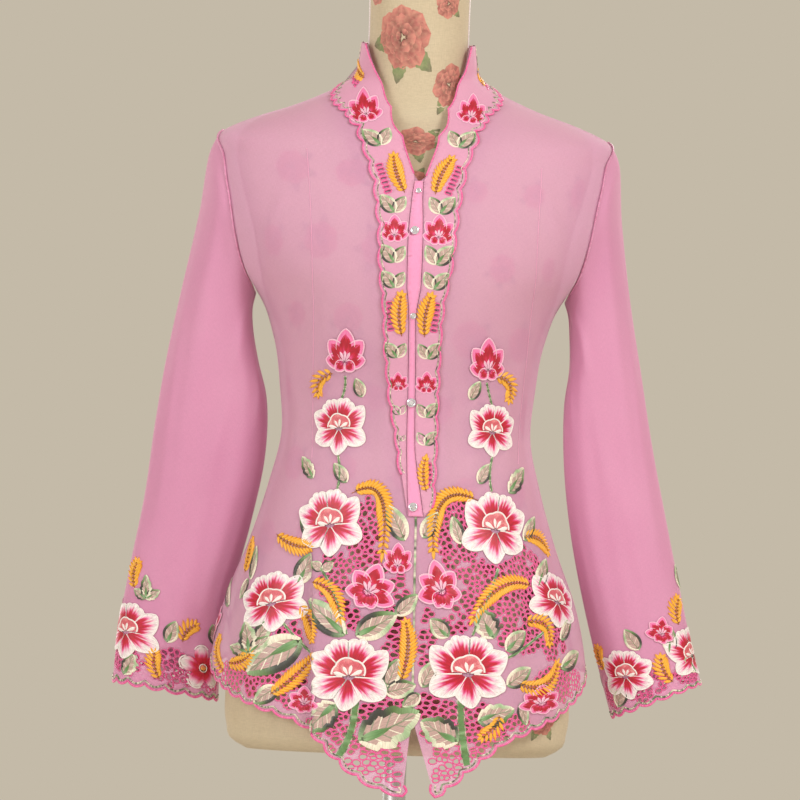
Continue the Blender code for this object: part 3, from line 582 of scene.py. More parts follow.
class Graph:
    """A material's nodes, added and linked one after another."""

    def __init__(self, name: str) -> None:
        """Starts a material that holds a Principled shader.

        Args:
            name: The material's name.
        """
        self.material = bpy.data.materials.new(name)
        self.material.use_nodes = True
        self.tree = self.material.node_tree
        self.shader = self.tree.nodes["Principled BSDF"]

    def node(self, kind: str, settings: dict | None = None, **inputs: object) -> bpy.types.Node:
        """Adds a node.

        Args:
            kind: The node's type.
            settings: Its properties by name.
            inputs: Its sockets by name, with _ for a space, each a value or a socket to link.

        Returns:
            The new node.
        """
        made = self.tree.nodes.new(kind)
        for key, value in (settings or {}).items():
            setattr(made, key, value)
        for key, value in inputs.items():
            self.put(made.inputs[key.replace("_", " ")], value)
        return made

    def put(self, socket: bpy.types.NodeSocket, value: object) -> None:
        """Links a socket, or sets its value.

        Args:
            socket: The socket to fill.
            value: Another node's socket, or a plain value.
        """
        if isinstance(value, bpy.types.NodeSocket):
            self.tree.links.new(value, socket)
        else:
            socket.default_value = value

    def maths(self, operation: str, first: object, second: object = 0.0) -> bpy.types.NodeSocket:
        """Adds a sum of two numbers.

        Args:
            operation: The Math node's operation.
            first: Its first number or socket.
            second: Its second number or socket.

        Returns:
            The sum's socket.
        """
        made = self.tree.nodes.new("ShaderNodeMath")
        made.operation = operation
        self.put(made.inputs[0], first)
        self.put(made.inputs[1], second)
        return made.outputs[0]

    def mixed(self, share: object, first: object, second: object, way: str = "MIX") -> bpy.types.NodeSocket:
        """Mixes two colours.

        Args:
            share: How much of the second.
            first: The first colour or socket.
            second: The second colour or socket.
            way: The blending mode.

        Returns:
            The mixed colour's socket.
        """
        made = self.tree.nodes.new("ShaderNodeMix")
        made.data_type = "RGBA"
        made.blend_type = way
        self.put(made.inputs[0], share)
        self.put(made.inputs[6], first)
        self.put(made.inputs[7], second)
        return made.outputs[2]

    def noise(self, place: object, scale: float, detail: float = 2.0) -> bpy.types.NodeSocket:
        """Adds a noise pattern.

        Args:
            place: The coordinates' socket.
            scale: Its scale.
            detail: Its detail.

        Returns:
            The pattern's value.
        """
        return self.node("ShaderNodeTexNoise", Vector=place, Scale=scale, Detail=detail).outputs[0]

    def stretched(self, place: object, scale: tuple[float, float, float]) -> bpy.types.NodeSocket:
        """Coordinates scaled by axis."""
        return self.node("ShaderNodeMapping", Vector=place, Scale=scale).outputs[0]

    def bump(self, height: object, strength: float, distance: float) -> None:
        """Adds a bump to the shader.

        Args:
            height: The height's socket.
            strength: How strongly it shows.
            distance: The height in metres.
        """
        made = self.node("ShaderNodeBump", Height=height, Strength=strength, Distance=distance)
        self.put(self.shader.inputs["Normal"], made.outputs[0])


@dataclass(frozen=True)
class Voile:
    """Plain-woven cotton, fine enough to show what lies behind it."""

    name: str
    colour: Colour
    light: Colour
    alpha: float
    sheen: float = 0.35

    def made(self) -> bpy.types.Material:
        """The cloth's material, woven in the flat cut's own coordinates."""
        graph = Graph(self.name)
        cut = graph.node("ShaderNodeUVMap", {"uv_map": "cut"}).outputs[0]
        place = graph.node("ShaderNodeTexCoord").outputs["Object"]
        warp = graph.noise(graph.stretched(cut, (2600, 260, 1)), 1.0)
        weft = graph.noise(graph.stretched(cut, (260, 2600, 1)), 1.0)
        weave = graph.maths("MULTIPLY", graph.maths("ADD", warp, weft), 0.5)
        cloud = graph.noise(place, 9.0, 3.0)
        base = graph.mixed(cloud, (*self.colour, 1), (*self.light, 1))
        threads = graph.node("ShaderNodeMapRange", Value=weave).outputs[0]
        threads.node.inputs["From Min"].default_value = 0.3
        threads.node.inputs["From Max"].default_value = 0.7
        threads.node.inputs["To Min"].default_value = 0.90
        threads.node.inputs["To Max"].default_value = 1.08
        tone = graph.node("ShaderNodeCombineColor", Red=threads, Green=threads, Blue=threads).outputs[0]
        colour = graph.mixed(1.0, base, tone, "MULTIPLY")
        graph.put(graph.shader.inputs["Base Color"], colour)
        rough = graph.maths("ADD", graph.maths("MULTIPLY", weave, 0.25), 0.62)
        graph.put(graph.shader.inputs["Roughness"], rough)
        graph.shader.inputs["Alpha"].default_value = self.alpha
        graph.shader.inputs["Sheen Weight"].default_value = self.sheen
        graph.shader.inputs["Sheen Roughness"].default_value = 0.45
        graph.shader.inputs["Sheen Tint"].default_value = (1.0, 0.86, 0.92, 1.0)
        graph.bump(weave, 0.35, 0.0002)
        return graph.material


@dataclass(frozen=True)
class Floss:
    """Shiny sewing thread laid side by side, in the colours that the sewing holds."""

    name: str
    gloss: float

    def made(self) -> bpy.types.Material:
        """The thread's material, with its strands along the sewing's own stitches."""
        graph = Graph(self.name)
        dyed = graph.node("ShaderNodeAttribute", {"attribute_name": "floss"}).outputs["Color"]
        stitch = graph.node("ShaderNodeUVMap", {"uv_map": "stitch"}).outputs[0]
        strand = graph.noise(graph.stretched(stitch, (2.4, 0.22, 1)), 1.0, 1.5)
        tone = graph.node("ShaderNodeMapRange", Value=strand).outputs[0]
        tone.node.inputs["From Min"].default_value = 0.3
        tone.node.inputs["From Max"].default_value = 0.7
        tone.node.inputs["To Min"].default_value = 0.72
        tone.node.inputs["To Max"].default_value = 1.12
        grey = graph.node("ShaderNodeCombineColor", Red=tone, Green=tone, Blue=tone).outputs[0]
        graph.put(graph.shader.inputs["Base Color"], graph.mixed(1.0, dyed, grey, "MULTIPLY"))
        rough = graph.maths("SUBTRACT", self.gloss, graph.maths("MULTIPLY", strand, 0.2))
        graph.put(graph.shader.inputs["Roughness"], rough)
        graph.shader.inputs["Sheen Weight"].default_value = 0.12
        graph.bump(strand, 0.6, 0.0003)
        return graph.material


@dataclass(frozen=True)
class Linen:
    """Unbleached linen over a padded form, lightly worn."""

    name: str
    colour: Colour
    worn: Colour

    def made(self) -> bpy.types.Material:
        """The linen's material."""
        graph = Graph(self.name)
        place = graph.node("ShaderNodeTexCoord").outputs["Object"]
        upright = graph.noise(graph.stretched(place, (1400, 1400, 160)), 1.0)
        level = graph.noise(graph.stretched(place, (160, 160, 1400)), 1.0)
        weave = graph.maths("MULTIPLY", graph.maths("ADD", upright, level), 0.5)
        stains = graph.noise(place, 14.0, 4.0)
        base = graph.mixed(stains, (*self.colour, 1), (*self.worn, 1))
        tone = graph.node("ShaderNodeMapRange", Value=weave).outputs[0]
        tone.node.inputs["From Min"].default_value = 0.3
        tone.node.inputs["From Max"].default_value = 0.7
        tone.node.inputs["To Min"].default_value = 0.86
        tone.node.inputs["To Max"].default_value = 1.06
        grey = graph.node("ShaderNodeCombineColor", Red=tone, Green=tone, Blue=tone).outputs[0]
        graph.put(graph.shader.inputs["Base Color"], graph.mixed(1.0, base, grey, "MULTIPLY"))
        graph.put(graph.shader.inputs["Roughness"], graph.maths("ADD", graph.maths("MULTIPLY", weave, 0.2), 0.74))
        graph.bump(weave, 0.4, 0.0003)
        return graph.material


@dataclass(frozen=True)
class Metal:
    """Pale brushed steel."""

    name: str
    colour: Colour
    roughness: float

    def made(self) -> bpy.types.Material:
        """The steel's material, with fine brushing round it."""
        graph = Graph(self.name)
        place = graph.node("ShaderNodeTexCoord").outputs["Object"]
        brushed = graph.noise(graph.stretched(place, (60, 60, 2400)), 1.0)
        base = graph.mixed(brushed, (*self.colour, 1), tuple(c * 0.84 for c in self.colour) + (1,))
        graph.put(graph.shader.inputs["Base Color"], base)
        rough = graph.maths("ADD", graph.maths("MULTIPLY", brushed, 0.16), self.roughness)
        graph.put(graph.shader.inputs["Roughness"], rough)
        graph.shader.inputs["Metallic"].default_value = 0.85
        graph.bump(brushed, 0.12, 0.0001)
        return graph.material


@dataclass(frozen=True)
class Crystal:
    """Cut glass with a foiled back."""

    name: str

    def made(self) -> bpy.types.Material:
        """The glass's material, with glints painted into its colour."""
        graph = Graph(self.name)
        place = graph.node("ShaderNodeTexCoord").outputs["Object"]
        # Painted glints: noise dapples between near white and dark blue-grey stand in for light reflected by the
        # facets.
        painted_glint = graph.noise(place, 900.0, 1.0)
        base = graph.mixed(painted_glint, (0.35, 0.38, 0.44, 1), (0.98, 0.98, 1.0, 1))
        graph.put(graph.shader.inputs["Base Color"], base)
        graph.put(graph.shader.inputs["Roughness"], graph.maths("MULTIPLY", painted_glint, 0.12))
        graph.shader.inputs["Metallic"].default_value = 0.55
        graph.shader.inputs["Coat Weight"].default_value = 1.0
        graph.shader.inputs["Coat Roughness"].default_value = 0.02
        return graph.material


# Surfaces.


def smooth_step(value: Array) -> Array:
    """Rises from 0 to 1 as value does, with level ends."""
    value = np.clip(value, 0.0, 1.0)
    return value * value * (3 - 2 * value)


def window(height: Array, low: float, high: float, fade: float) -> Array:
    """1 along a fold, falling to 0 at its ends."""
    return smooth_step((height - low) / fade) * smooth_step((high - height) / fade)


class Track:
    """A smooth curve through the columns of a table, read at any values of its first column."""

    def __init__(self, rows: Sequence[Sequence[float]]) -> None:
        """Keeps the table with its slopes.

        Args:
            rows: The table, with rising first values.
        """
        table = np.array(rows, float)
        self.keys = table[:, 0]
        self.values = table[:, 1:]
        self.slopes = np.gradient(self.values, self.keys, axis=0)

    def at(self, key: Array) -> Array:
        """The other columns at these values of the first one.

        Args:
            key: The values to read at.

        Returns:
            One row of the other columns for each value.
        """
        key = np.clip(np.asarray(key, float), self.keys[0], self.keys[-1])
        low = np.clip(np.searchsorted(self.keys, key, side="right") - 1, 0, len(self.keys) - 2)
        span = self.keys[low + 1] - self.keys[low]
        t = ((key - self.keys[low]) / span)[..., None]
        span = span[..., None]
        ease = t * t * (3 - 2 * t)
        smooth = self.values[low] * (1 - ease) + self.values[low + 1] * ease
        smooth = smooth + self.slopes[low] * (t - 1) ** 2 * t * span
        return smooth + self.slopes[low + 1] * t * t * (t - 1) * span


class Surface:
    """A surface that cloth and sewing lie on, read by two coordinates."""

    def place(self, first: Array, second: Array, lift: Array | float = 0.0) -> Array:
        """The points, moved out along the normals by lift."""
        raise NotImplementedError

    def wrap(self, middle: tuple[float, float], flat: Array, lift: Array | float) -> Array:
        """The points of a flat drawing laid round a middle."""
        raise NotImplementedError


class BodySurface(Surface):
    """A surface lofted through level rings. Its coordinates are REACH times the angle, and the level."""

    CHART_STEP = 3.0

    def __init__(self, rings: Sequence[Ring], folded: bool) -> None:
        """Keeps the rings, and charts lengths round the body.

        Args:
            rings: The level rings from the lowest up.
            folded: Whether the cloth's folds are added.
        """
        self.track = Track(rings)
        self.folded = folded
        self.levels = np.arange(self.track.keys[0], self.track.keys[-1] + 4.0, 4.0)
        turns = np.arange(-0.6 * math.pi * REACH, 1.6 * math.pi * REACH, self.CHART_STEP)
        grid_u, grid_level = np.meshgrid(turns, self.levels)
        points = self.flat(grid_u.ravel(), grid_level.ravel()).reshape(*grid_u.shape, 3)
        steps = np.linalg.norm(np.diff(points, axis=1), axis=2)
        arcs = np.concatenate([np.zeros((len(self.levels), 1)), np.cumsum(steps, axis=1)], axis=1)
        self.turns = turns
        self.arcs = arcs - np.array([np.interp(0.0, turns, row) for row in arcs])[:, None]
        self.arc_keys = np.arange(-420.0, 1120.0, self.CHART_STEP)
        self.unrolled = np.array([np.interp(self.arc_keys, row, turns) for row in self.arcs])

    def flat(self, u: Array, level: Array) -> Array:
        """The points before any fold is added.

        Args:
            u: REACH times the angle from the front's middle.
            level: The level.

        Returns:
            The points in millimetres.
        """
        half, front_level, front, back_level, back = np.moveaxis(self.track.at(level), -1, 0)
        sine, cosine = np.sin(u / REACH), np.cos(u / REACH)
        x = np.sign(sine) * np.abs(sine) ** SECTION_POWER * half
        depth = np.abs(cosine) ** SECTION_POWER
        before = cosine > 0
        y = np.where(before, -depth * front, depth * back)
        middle = np.where(before, front_level, back_level)
        return np.stack([x, y, level * sine**2 + middle * cosine**2], axis=-1)

    def rise(self, points: Array) -> Array:
        """How far the folds move these points out.

        Args:
            points: The points before any fold.

        Returns:
            The distances in millimetres.
        """
        x, y, z = np.moveaxis(points, -1, 0)
        total = np.zeros(len(points))
        for folds, here in ((FRONT_FOLDS + FRONT_CREASES, y < 0), (BACK_FOLDS + BACK_CREASES, y >= 0)):
            for fold in folds:
                share = (z - fold.low_height) / (fold.high_height - fold.low_height)
                middle = fold.low_across + share * (fold.high_across - fold.low_across)
                away = (x - middle) / fold.half_width
                fade = window(z, fold.low_height, fold.high_height, fold.fade)
                total += here * fold.rise * np.exp(-away * away) * fade
        total -= (y < 0) * deep_fold_drop(x, z)
        return total * smooth_step(np.abs(y) / 60.0)

    def normal(self, u: Array, level: Array) -> Array:
        """The outward directions of the surface before any fold is added."""
        step = 0.5
        round_it = self.flat(u + step, level) - self.flat(u - step, level)
        up_it = self.flat(u, level + step) - self.flat(u, level - step)
        out = np.cross(round_it, up_it)
        return out / np.linalg.norm(out, axis=-1)[..., None]

    def place(self, first: Array, second: Array, lift: Array | float = 0.0) -> Array:
        """The surface's points, with its folds, moved out.

        Args:
            first: REACH times the angles.
            second: The levels.
            lift: How far out.

        Returns:
            The points in millimetres.
        """
        first, second = np.asarray(first, float), np.asarray(second, float)
        points = self.flat(first, second)
        if self.folded:
            outward = np.stack([np.sin(first / REACH), -np.cos(first / REACH), np.zeros_like(first)], -1)
            points = points + outward * self.rise(points)[:, None]
        lift = np.broadcast_to(np.asarray(lift, float), first.shape)
        return points + self.normal(first, second) * lift[:, None]

    def seen(self, across: Array, height: Array) -> tuple[Array, Array]:
        """The coordinates of points of the front, given as they are seen from before.

        Args:
            across: How far across from the middle.
            height: The heights.

        Returns:
            REACH times the angles, and the levels.
        """
        across, height = np.asarray(across, float), np.asarray(height, float)
        low = np.full(across.shape, self.track.keys[0])
        high = np.full(across.shape, self.track.keys[-1])
        for _ in range(32):
            level = (low + high) / 2
            under = self.flat(self.turn(across, level), level)[..., 2] < height
            low = np.where(under, level, low)
            high = np.where(under, high, level)
        return self.turn(across, level), level

    def turn(self, across: Array, level: Array) -> Array:
        """REACH times the angles of front points this far across at these levels."""
        half = self.track.at(level)[..., 0]
        share = np.minimum(np.abs(across) / half, 1.0)
        return np.sign(across) * np.arcsin(share ** (1 / SECTION_POWER)) * REACH

    def seen_line(self, rows: Sequence[Seen]) -> list[tuple[float, float]]:
        """The coordinates of a line of the front, given as it is seen."""
        table = np.array(rows, float)
        u, level = self.seen(table[:, 0], table[:, 1])
        return [(float(a), float(b)) for a, b in zip(u, level)]

    def arc(self, u: float, level: float) -> float:
        """The length round the body from the front's middle to this point."""
        row = int(np.argmin(np.abs(self.levels - level)))
        return float(np.interp(u, self.turns, self.arcs[row]))

    def from_arc(self, arc: Array, level: Array) -> Array:
        """REACH times the angles of points this far round the body.

        Args:
            arc: Lengths round the body.
            level: The levels.

        Returns:
            The first coordinates.
        """
        row = np.clip((level - self.levels[0]) / 4.0, 0, len(self.levels) - 1.001)
        column = np.clip((arc - self.arc_keys[0]) / self.CHART_STEP, 0, len(self.arc_keys) - 1.001)
        r, c = row.astype(int), column.astype(int)
        fr, fc = row - r, column - c
        table = self.unrolled
        lower = table[r, c] * (1 - fc) + table[r, c + 1] * fc
        upper = table[r + 1, c] * (1 - fc) + table[r + 1, c + 1] * fc
        return lower * (1 - fr) + upper * fr

    def wrap(self, middle: tuple[float, float], flat: Array, lift: Array | float) -> Array:
        """Lays flat points round a middle.

        Args:
            middle: The middle's length round the body, and its level.
            flat: The points' offsets across and up.
            lift: Their heights over the surface.

        Returns:
            The points in millimetres.
        """
        level = middle[1] + flat[:, 1]
        return self.place(self.from_arc(middle[0] + flat[:, 0], level), level, lift)


def deep_fold_drop(across: Array, height: Array) -> Array:
    """How far the cloth outside the right front's deep fold lies behind its edge.

    Args:
        across: How far across, seen from before.
        height: The heights.

    Returns:
        The distances in millimetres.
    """
    share = (height - DEEP_FOLD_LOW.height) / (DEEP_FOLD_TOP.height - DEEP_FOLD_LOW.height)
    edge = DEEP_FOLD_LOW.across + share * (DEEP_FOLD_TOP.across - DEEP_FOLD_LOW.across)
    outside = np.maximum(edge - across, 0.0)
    steep = np.minimum(outside / DEEP_FOLD_STEP, 1.0)
    run_out = np.exp(-((np.maximum(outside - DEEP_FOLD_STEP, 0.0) / DEEP_FOLD_RUNOUT) ** 2))
    fade = smooth_step((DEEP_FOLD_TOP.height - height) / DEEP_FOLD_FADE)
    return DEEP_FOLD_DROP * steep * run_out * fade


BODY = BodySurface(CLOTH_RINGS, folded=True)
FORM = BodySurface(FORM_RINGS, folded=False)


class SleeveSurface(Surface):
    """A sleeve as one tube. Its coordinates are lengths round it, from the inner edge over the front
    and back again, and lengths down it."""

    def __init__(self, side: int) -> None:
        """Keeps the sections.

        Args:
            side: 1 for the left sleeve, -1 for the right one.
        """
        self.side = side
        self.track = Track(SLEEVES[side])
        self.armhole = Track(ARMHOLE)

    def section(self, share: Array, behind: Array, along: Array) -> Array:
        """The points of the plain tapering tube.

        Args:
            share: Shares of the half width, from the inner edge.
            behind: 1 on the back half, -1 on the front half.
            along: Lengths down the sleeve.

        Returns:
            The points, as on the left sleeve.
        """
        inner, inner_z, outer, outer_z, half_depth, hang = np.moveaxis(self.track.at(along), -1, 0)
        turn = math.pi * share
        x = (inner + outer) / 2 - (outer - inner) / 2 * np.cos(turn)
        z = (inner_z + outer_z) / 2 - (outer_z - inner_z) / 2 * np.cos(turn)
        y = hang + half_depth * np.maximum(np.sin(turn), 0.0) ** 0.9 * behind
        return np.stack([x, y, z], axis=-1)

    def armhole_point(self, share: Array, behind: Array) -> Array:
        """The points of the body's armhole, moved out so that the sleeve clears it."""
        level, angle = np.moveaxis(self.armhole.at(share), -1, 0)
        u = np.radians(angle) * REACH
        u = np.where(behind > 0, 2 * SIDE_U - u, u)
        points = BODY.place(u, level)
        points[:, 0] += 1.3 + 1.6 * (1 - share) ** 3
        return points

    def base(self, first: Array, second: Array) -> Array:
        """The sleeve's points with its folds.

        Args:
            first: Lengths round the sleeve.
            second: Lengths down it.

        Returns:
            The points in millimetres.
        """
        round_it = np.clip(first / SLEEVE_HALF, 0.0, 2.0)
        behind = np.where(round_it > 1.0, 1.0, -1.0)
        share = np.where(round_it > 1.0, 2.0 - round_it, round_it)
        points = self.section(share, behind, second)
        blend = np.maximum(1 - second / ARMHOLE_BLEND, 0.0) ** 2
        start = self.armhole_point(share, behind) - self.section(share, behind, np.zeros_like(second))
        points += start * blend[:, None]
        rise = np.zeros(len(points))
        for fold in SLEEVE_FOLDS + SLEEVE_CREASES:
            down = np.clip((second - fold.low) / (fold.high - fold.low), 0, 1)
            middle = fold.across + (fold.across_low - fold.across) * down
            away = (share - middle) / fold.half_width
            rise += fold.rise * np.exp(-away * away) * window(second, fold.low, fold.high, fold.fade)
        points[:, 1] += rise * (1 - blend) * behind
        points[:, 0] *= self.side
        return points

    def place(self, first: Array, second: Array, lift: Array | float = 0.0) -> Array:
        """The sleeve's points, moved out.

        Args:
            first: Lengths round the sleeve.
            second: Lengths down it.
            lift: How far out.

        Returns:
            The points in millimetres.
        """
        first, second = np.asarray(first, float), np.asarray(second, float)
        points = self.base(first, second)
        lift = np.broadcast_to(np.asarray(lift, float), first.shape)
        if not lift.any():
            return points
        step = 1.5
        low, high = SLEEVE_SEAM_CLEAR, 2 * SLEEVE_HALF - SLEEVE_SEAM_CLEAR
        left, right = np.clip(first - step, low, high), np.clip(first + step, low, high)
        round_it = self.base(right, second) - self.base(left, second)
        down_it = self.base(first, second + step) - self.base(first, second - step)
        out = np.cross(round_it, down_it) * -self.side
        out /= np.maximum(np.linalg.norm(out, axis=-1), 1e-9)[:, None]
        return points + out * lift[:, None]

    def wrap(self, middle: tuple[float, float], flat: Array, lift: Array | float) -> Array:
        """Lays flat points round a middle.

        Args:
            middle: The middle's lengths round and down the sleeve.
            flat: The points' offsets across and up.
            lift: Their heights over the surface.

        Returns:
            The points in millimetres.
        """
        here = np.array([middle[0], middle[0] + 2.0, middle[0]])
        down = np.array([middle[1], middle[1], middle[1] + 2.0])
        spots = self.base(here, down)
        wide = np.linalg.norm(spots[1] - spots[0]) / 2.0
        tall = np.linalg.norm(spots[2] - spots[0]) / 2.0
        first = middle[0] + self.side * flat[:, 0] / wide
        second = middle[1] - flat[:, 1] / tall
        return self.place(first % (2 * SLEEVE_HALF), second, lift)


# Flat patterns.


Line = list[tuple[float, float]]


def resample(line: Line, step: float) -> Line:
    """The line with extra points, so that none of its stretches is longer than step."""
    points = [line[0]]
    for start, end in zip(line, line[1:]):
        count = max(1, math.ceil(math.dist(start, end) / step))
        for k in range(1, count + 1):
            share = k / count
            points.append((start[0] + (end[0] - start[0]) * share, start[1] + (end[1] - start[1]) * share))
    return points


def scalloped(line: Line, scallop: Scallop, side: int) -> Line:
    """The line redrawn as a row of round bumps that bulge to its left (side 1) or right (side -1).

    Args:
        line: The line through the bumps' ends.
        scallop: The bumps' pitch and depth.
        side: The side they bulge to.

    Returns:
        The bumps' line.
    """
    lengths = np.cumsum([0.0] + [math.dist(a, b) for a, b in zip(line, line[1:])])
    bumps = max(1, round(lengths[-1] / scallop.pitch))
    stations = np.linspace(0.0, lengths[-1], bumps * BUMP_POINTS + 1)
    columns = np.array(line, float)
    across = np.interp(stations, lengths, columns[:, 0])
    along = np.interp(stations, lengths, columns[:, 1])
    ahead = np.stack([np.gradient(across), np.gradient(along)], axis=1)
    ahead /= np.linalg.norm(ahead, axis=1)[:, None]
    share = (np.arange(len(stations)) % BUMP_POINTS) / BUMP_POINTS
    rise = scallop.depth * np.sin(np.pi * share) ** 0.8
    return [
        (float(x - side * d[1] * r), float(y + side * d[0] * r))
        for x, y, d, r in zip(across, along, ahead, rise)
    ]


def inside(points: Array, polygon: Line | Array) -> Array:
    """For each point, whether it lies within the polygon."""
    points = np.asarray(points, float)
    corners = np.asarray(polygon, float)
    low, high = corners.min(axis=0), corners.max(axis=0)
    near = np.flatnonzero(((points >= low) & (points <= high)).all(axis=1))
    result = np.zeros(len(points), bool)
    spots = points[near]
    within = np.zeros(len(near), bool)
    for (x0, y0), (x1, y1) in zip(corners, np.roll(corners, -1, axis=0)):
        if y0 != y1:
            crosses = (y0 > spots[:, 1]) != (y1 > spots[:, 1])
            at = x0 + (spots[:, 1] - y0) * (x1 - x0) / (y1 - y0)
            within ^= crosses & (spots[:, 0] < at)
    result[near] = within
    return result


def far_from(points: Array, line: Line, distance: float) -> Array:
    """For each point, whether it is at least this far from every stretch of the line."""
    points = np.asarray(points, float)
    clear = np.ones(len(points), bool)
    for start, end in zip(line, line[1:]):
        start, end = np.array(start, float), np.array(end, float)
        ahead = end - start
        share = ((points - start) @ ahead / max(ahead @ ahead, 1e-12)).clip(0, 1)
        gap = np.linalg.norm(points - start - share[:, None] * ahead, axis=1)
        clear &= gap >= distance
    return clear


def hex_grid(low: Array, high: Array, pitch: float) -> Array:
    """The points of a regular triangular grid that covers a rectangle."""
    rows = np.arange(low[1], high[1] + pitch, pitch * math.sqrt(0.75))
    grid_rows = []
    for number, row in enumerate(rows):
        across = np.arange(low[0] + pitch / 2 * (number % 2), high[0] + pitch, pitch)
        grid_rows.append(np.stack([across, np.full(len(across), row)], axis=1))
    return np.concatenate(grid_rows)


@dataclass
class Cutwork:
    """Uneven rounded gaps between wrapped bars, as cells round jittered middles."""

    pitch: float = 6.0
    bar: float = 0.9
    jitter: float = 2.7
    corners: int = 10
    margin: float = 1.5

    def cells(
        self, in_pocket: Callable[[Array], Array], low: Array, high: Array, edges: list[Line], seed: int
    ) -> list[Line]:
        """The gaps that the pockets hold.

        Args:
            in_pocket: Says which points lie in a pocket.
            low: The lowest corner to fill.
            high: The highest corner to fill.
            edges: Lines that the gaps stay clear of. The first is the outline that holds them.
            seed: The seed of the jitter.

        Returns:
            One closed line for each gap.
        """
        chance = np.random.default_rng(seed)
        middles = hex_grid(low, high, self.pitch)
        middles = middles + chance.uniform(-1, 1, middles.shape) * self.jitter
        chosen = np.flatnonzero(in_pocket(middles))
        turns = np.linspace(0, 2 * math.pi, self.corners, endpoint=False)
        rays = np.stack([np.cos(turns), np.sin(turns)], axis=1)
        found: list[Line] = []
        for number in chosen:
            gap = middles - middles[number]
            spans = np.hypot(gap[:, 0], gap[:, 1])
            near = (spans > 0.01) & (spans < 2.6 * self.pitch)
            toward = gap[near] / spans[near, None]
            facing = rays @ toward.T
            reach = np.where(facing > 0.05, spans[near][None] / 2 / np.maximum(facing, 0.05), 99.0)
            radius = np.minimum(reach.min(axis=1), 0.72 * self.pitch) - self.bar / 2
            radius = 0.25 * np.roll(radius, 1) + 0.5 * radius + 0.25 * np.roll(radius, -1)
            if radius.min() < 0.55:
                continue
            ring = middles[number] + rays * radius[:, None]
            clear = all(far_from(ring, edge, self.margin).all() for edge in edges)
            if clear and inside(ring, edges[0]).all():
                found.append([(float(x), float(y)) for x, y in ring])
        return found


class Pattern:
    """A flat piece cut into triangles, with its lines and gaps as edges."""

    def __init__(
        self, outline: Line, lines: Sequence[Line] = (), gaps: Sequence[Line] = (), step: float = 4.0
    ) -> None:
        """Cuts the piece.

        Args:
            outline: Its edge.
            lines: Lines inside it that triangles keep.
            gaps: Closed lines that are cut out.
            step: The triangles' size.
        """
        points: Line = []
        edges: list[tuple[int, int]] = []
        for line, closes in [(outline, True)] + [(x, False) for x in lines] + [(x, True) for x in gaps]:
            self.add_line(points, edges, line, closes)
        fixed = KDTree(len(points))
        for number, (x, y) in enumerate(points):
            fixed.insert((x, y, 0.0), number)
        fixed.balance()
        corners = np.array(outline)
        grid_points = hex_grid(corners.min(axis=0), corners.max(axis=0), step)
        grid_points = grid_points[inside(grid_points, outline)]
        spans = np.array([fixed.find((x, y, 0.0))[2] for x, y in grid_points])
        grid_points = grid_points[spans > 0.55 * step]
        close = np.ones(len(grid_points), bool)
        for gap in gaps:
            close &= ~inside(grid_points, gap)
        grid_points = grid_points[close]
        flat = [Vector(p) for p in points + [tuple(p) for p in grid_points]]
        made, _, faces, *_ = delaunay_2d_cdt(flat, edges, [], 0, 1e-5)
        self.points = np.array([(p.x, p.y) for p in made])
        corners_of = np.array(faces)
        middles = self.points[corners_of].mean(axis=1)
        keep = inside(middles, outline)
        for gap in gaps:
            keep &= ~inside(middles, gap)
        self.faces = corners_of[keep]

    @staticmethod
    def add_line(points: Line, edges: list[tuple[int, int]], line: Line, closes: bool) -> None:
        """Adds a line's points, shared with points that are there, and its edges.

        Args:
            points: The points so far.
            edges: The edges so far.
            line: The line to add.
            closes: Whether its end joins its start.
        """
        known = {(round(x, 4), round(y, 4)): k for k, (x, y) in enumerate(points)}
        numbers = []
        for x, y in line:
            key = (round(x, 4), round(y, 4))
            if key not in known:
                known[key] = len(points)
                points.append((x, y))
            numbers.append(known[key])
        if closes:
            numbers.append(numbers[0])
        edges += [(a, b) for a, b in zip(numbers, numbers[1:]) if a != b]


# Sewing drawn flat.


@lru_cache(maxsize=None)
def grid(columns: int, rows: int) -> tuple[Array, Array]:
    """A square patch of cells, which the stitches are shaped from.

    Args:
        columns: Cells across.
        rows: Cells along.

    Returns:
        The points from -1 to 1 each way, and the cells' corners.
    """
    builder = bmesh.new()
    bmesh.ops.create_grid(builder, x_segments=columns, y_segments=rows, size=1.0)
    builder.verts.index_update()
    places = np.array([vert.co.xy[:] for vert in builder.verts])
    cells = np.array([[vert.index for vert in face.verts] for face in builder.faces])
    builder.free()
    return places, cells


def bezier(points: Sequence[tuple[float, float]], count: int) -> Array:
    """Points along the curve from the first to the third point, drawn to the second."""
    start, middle, end = (np.array(p, float) for p in points)
    t = np.linspace(0, 1, count)[:, None]
    return start * (1 - t) ** 2 + 2 * middle * t * (1 - t) + end * t**2


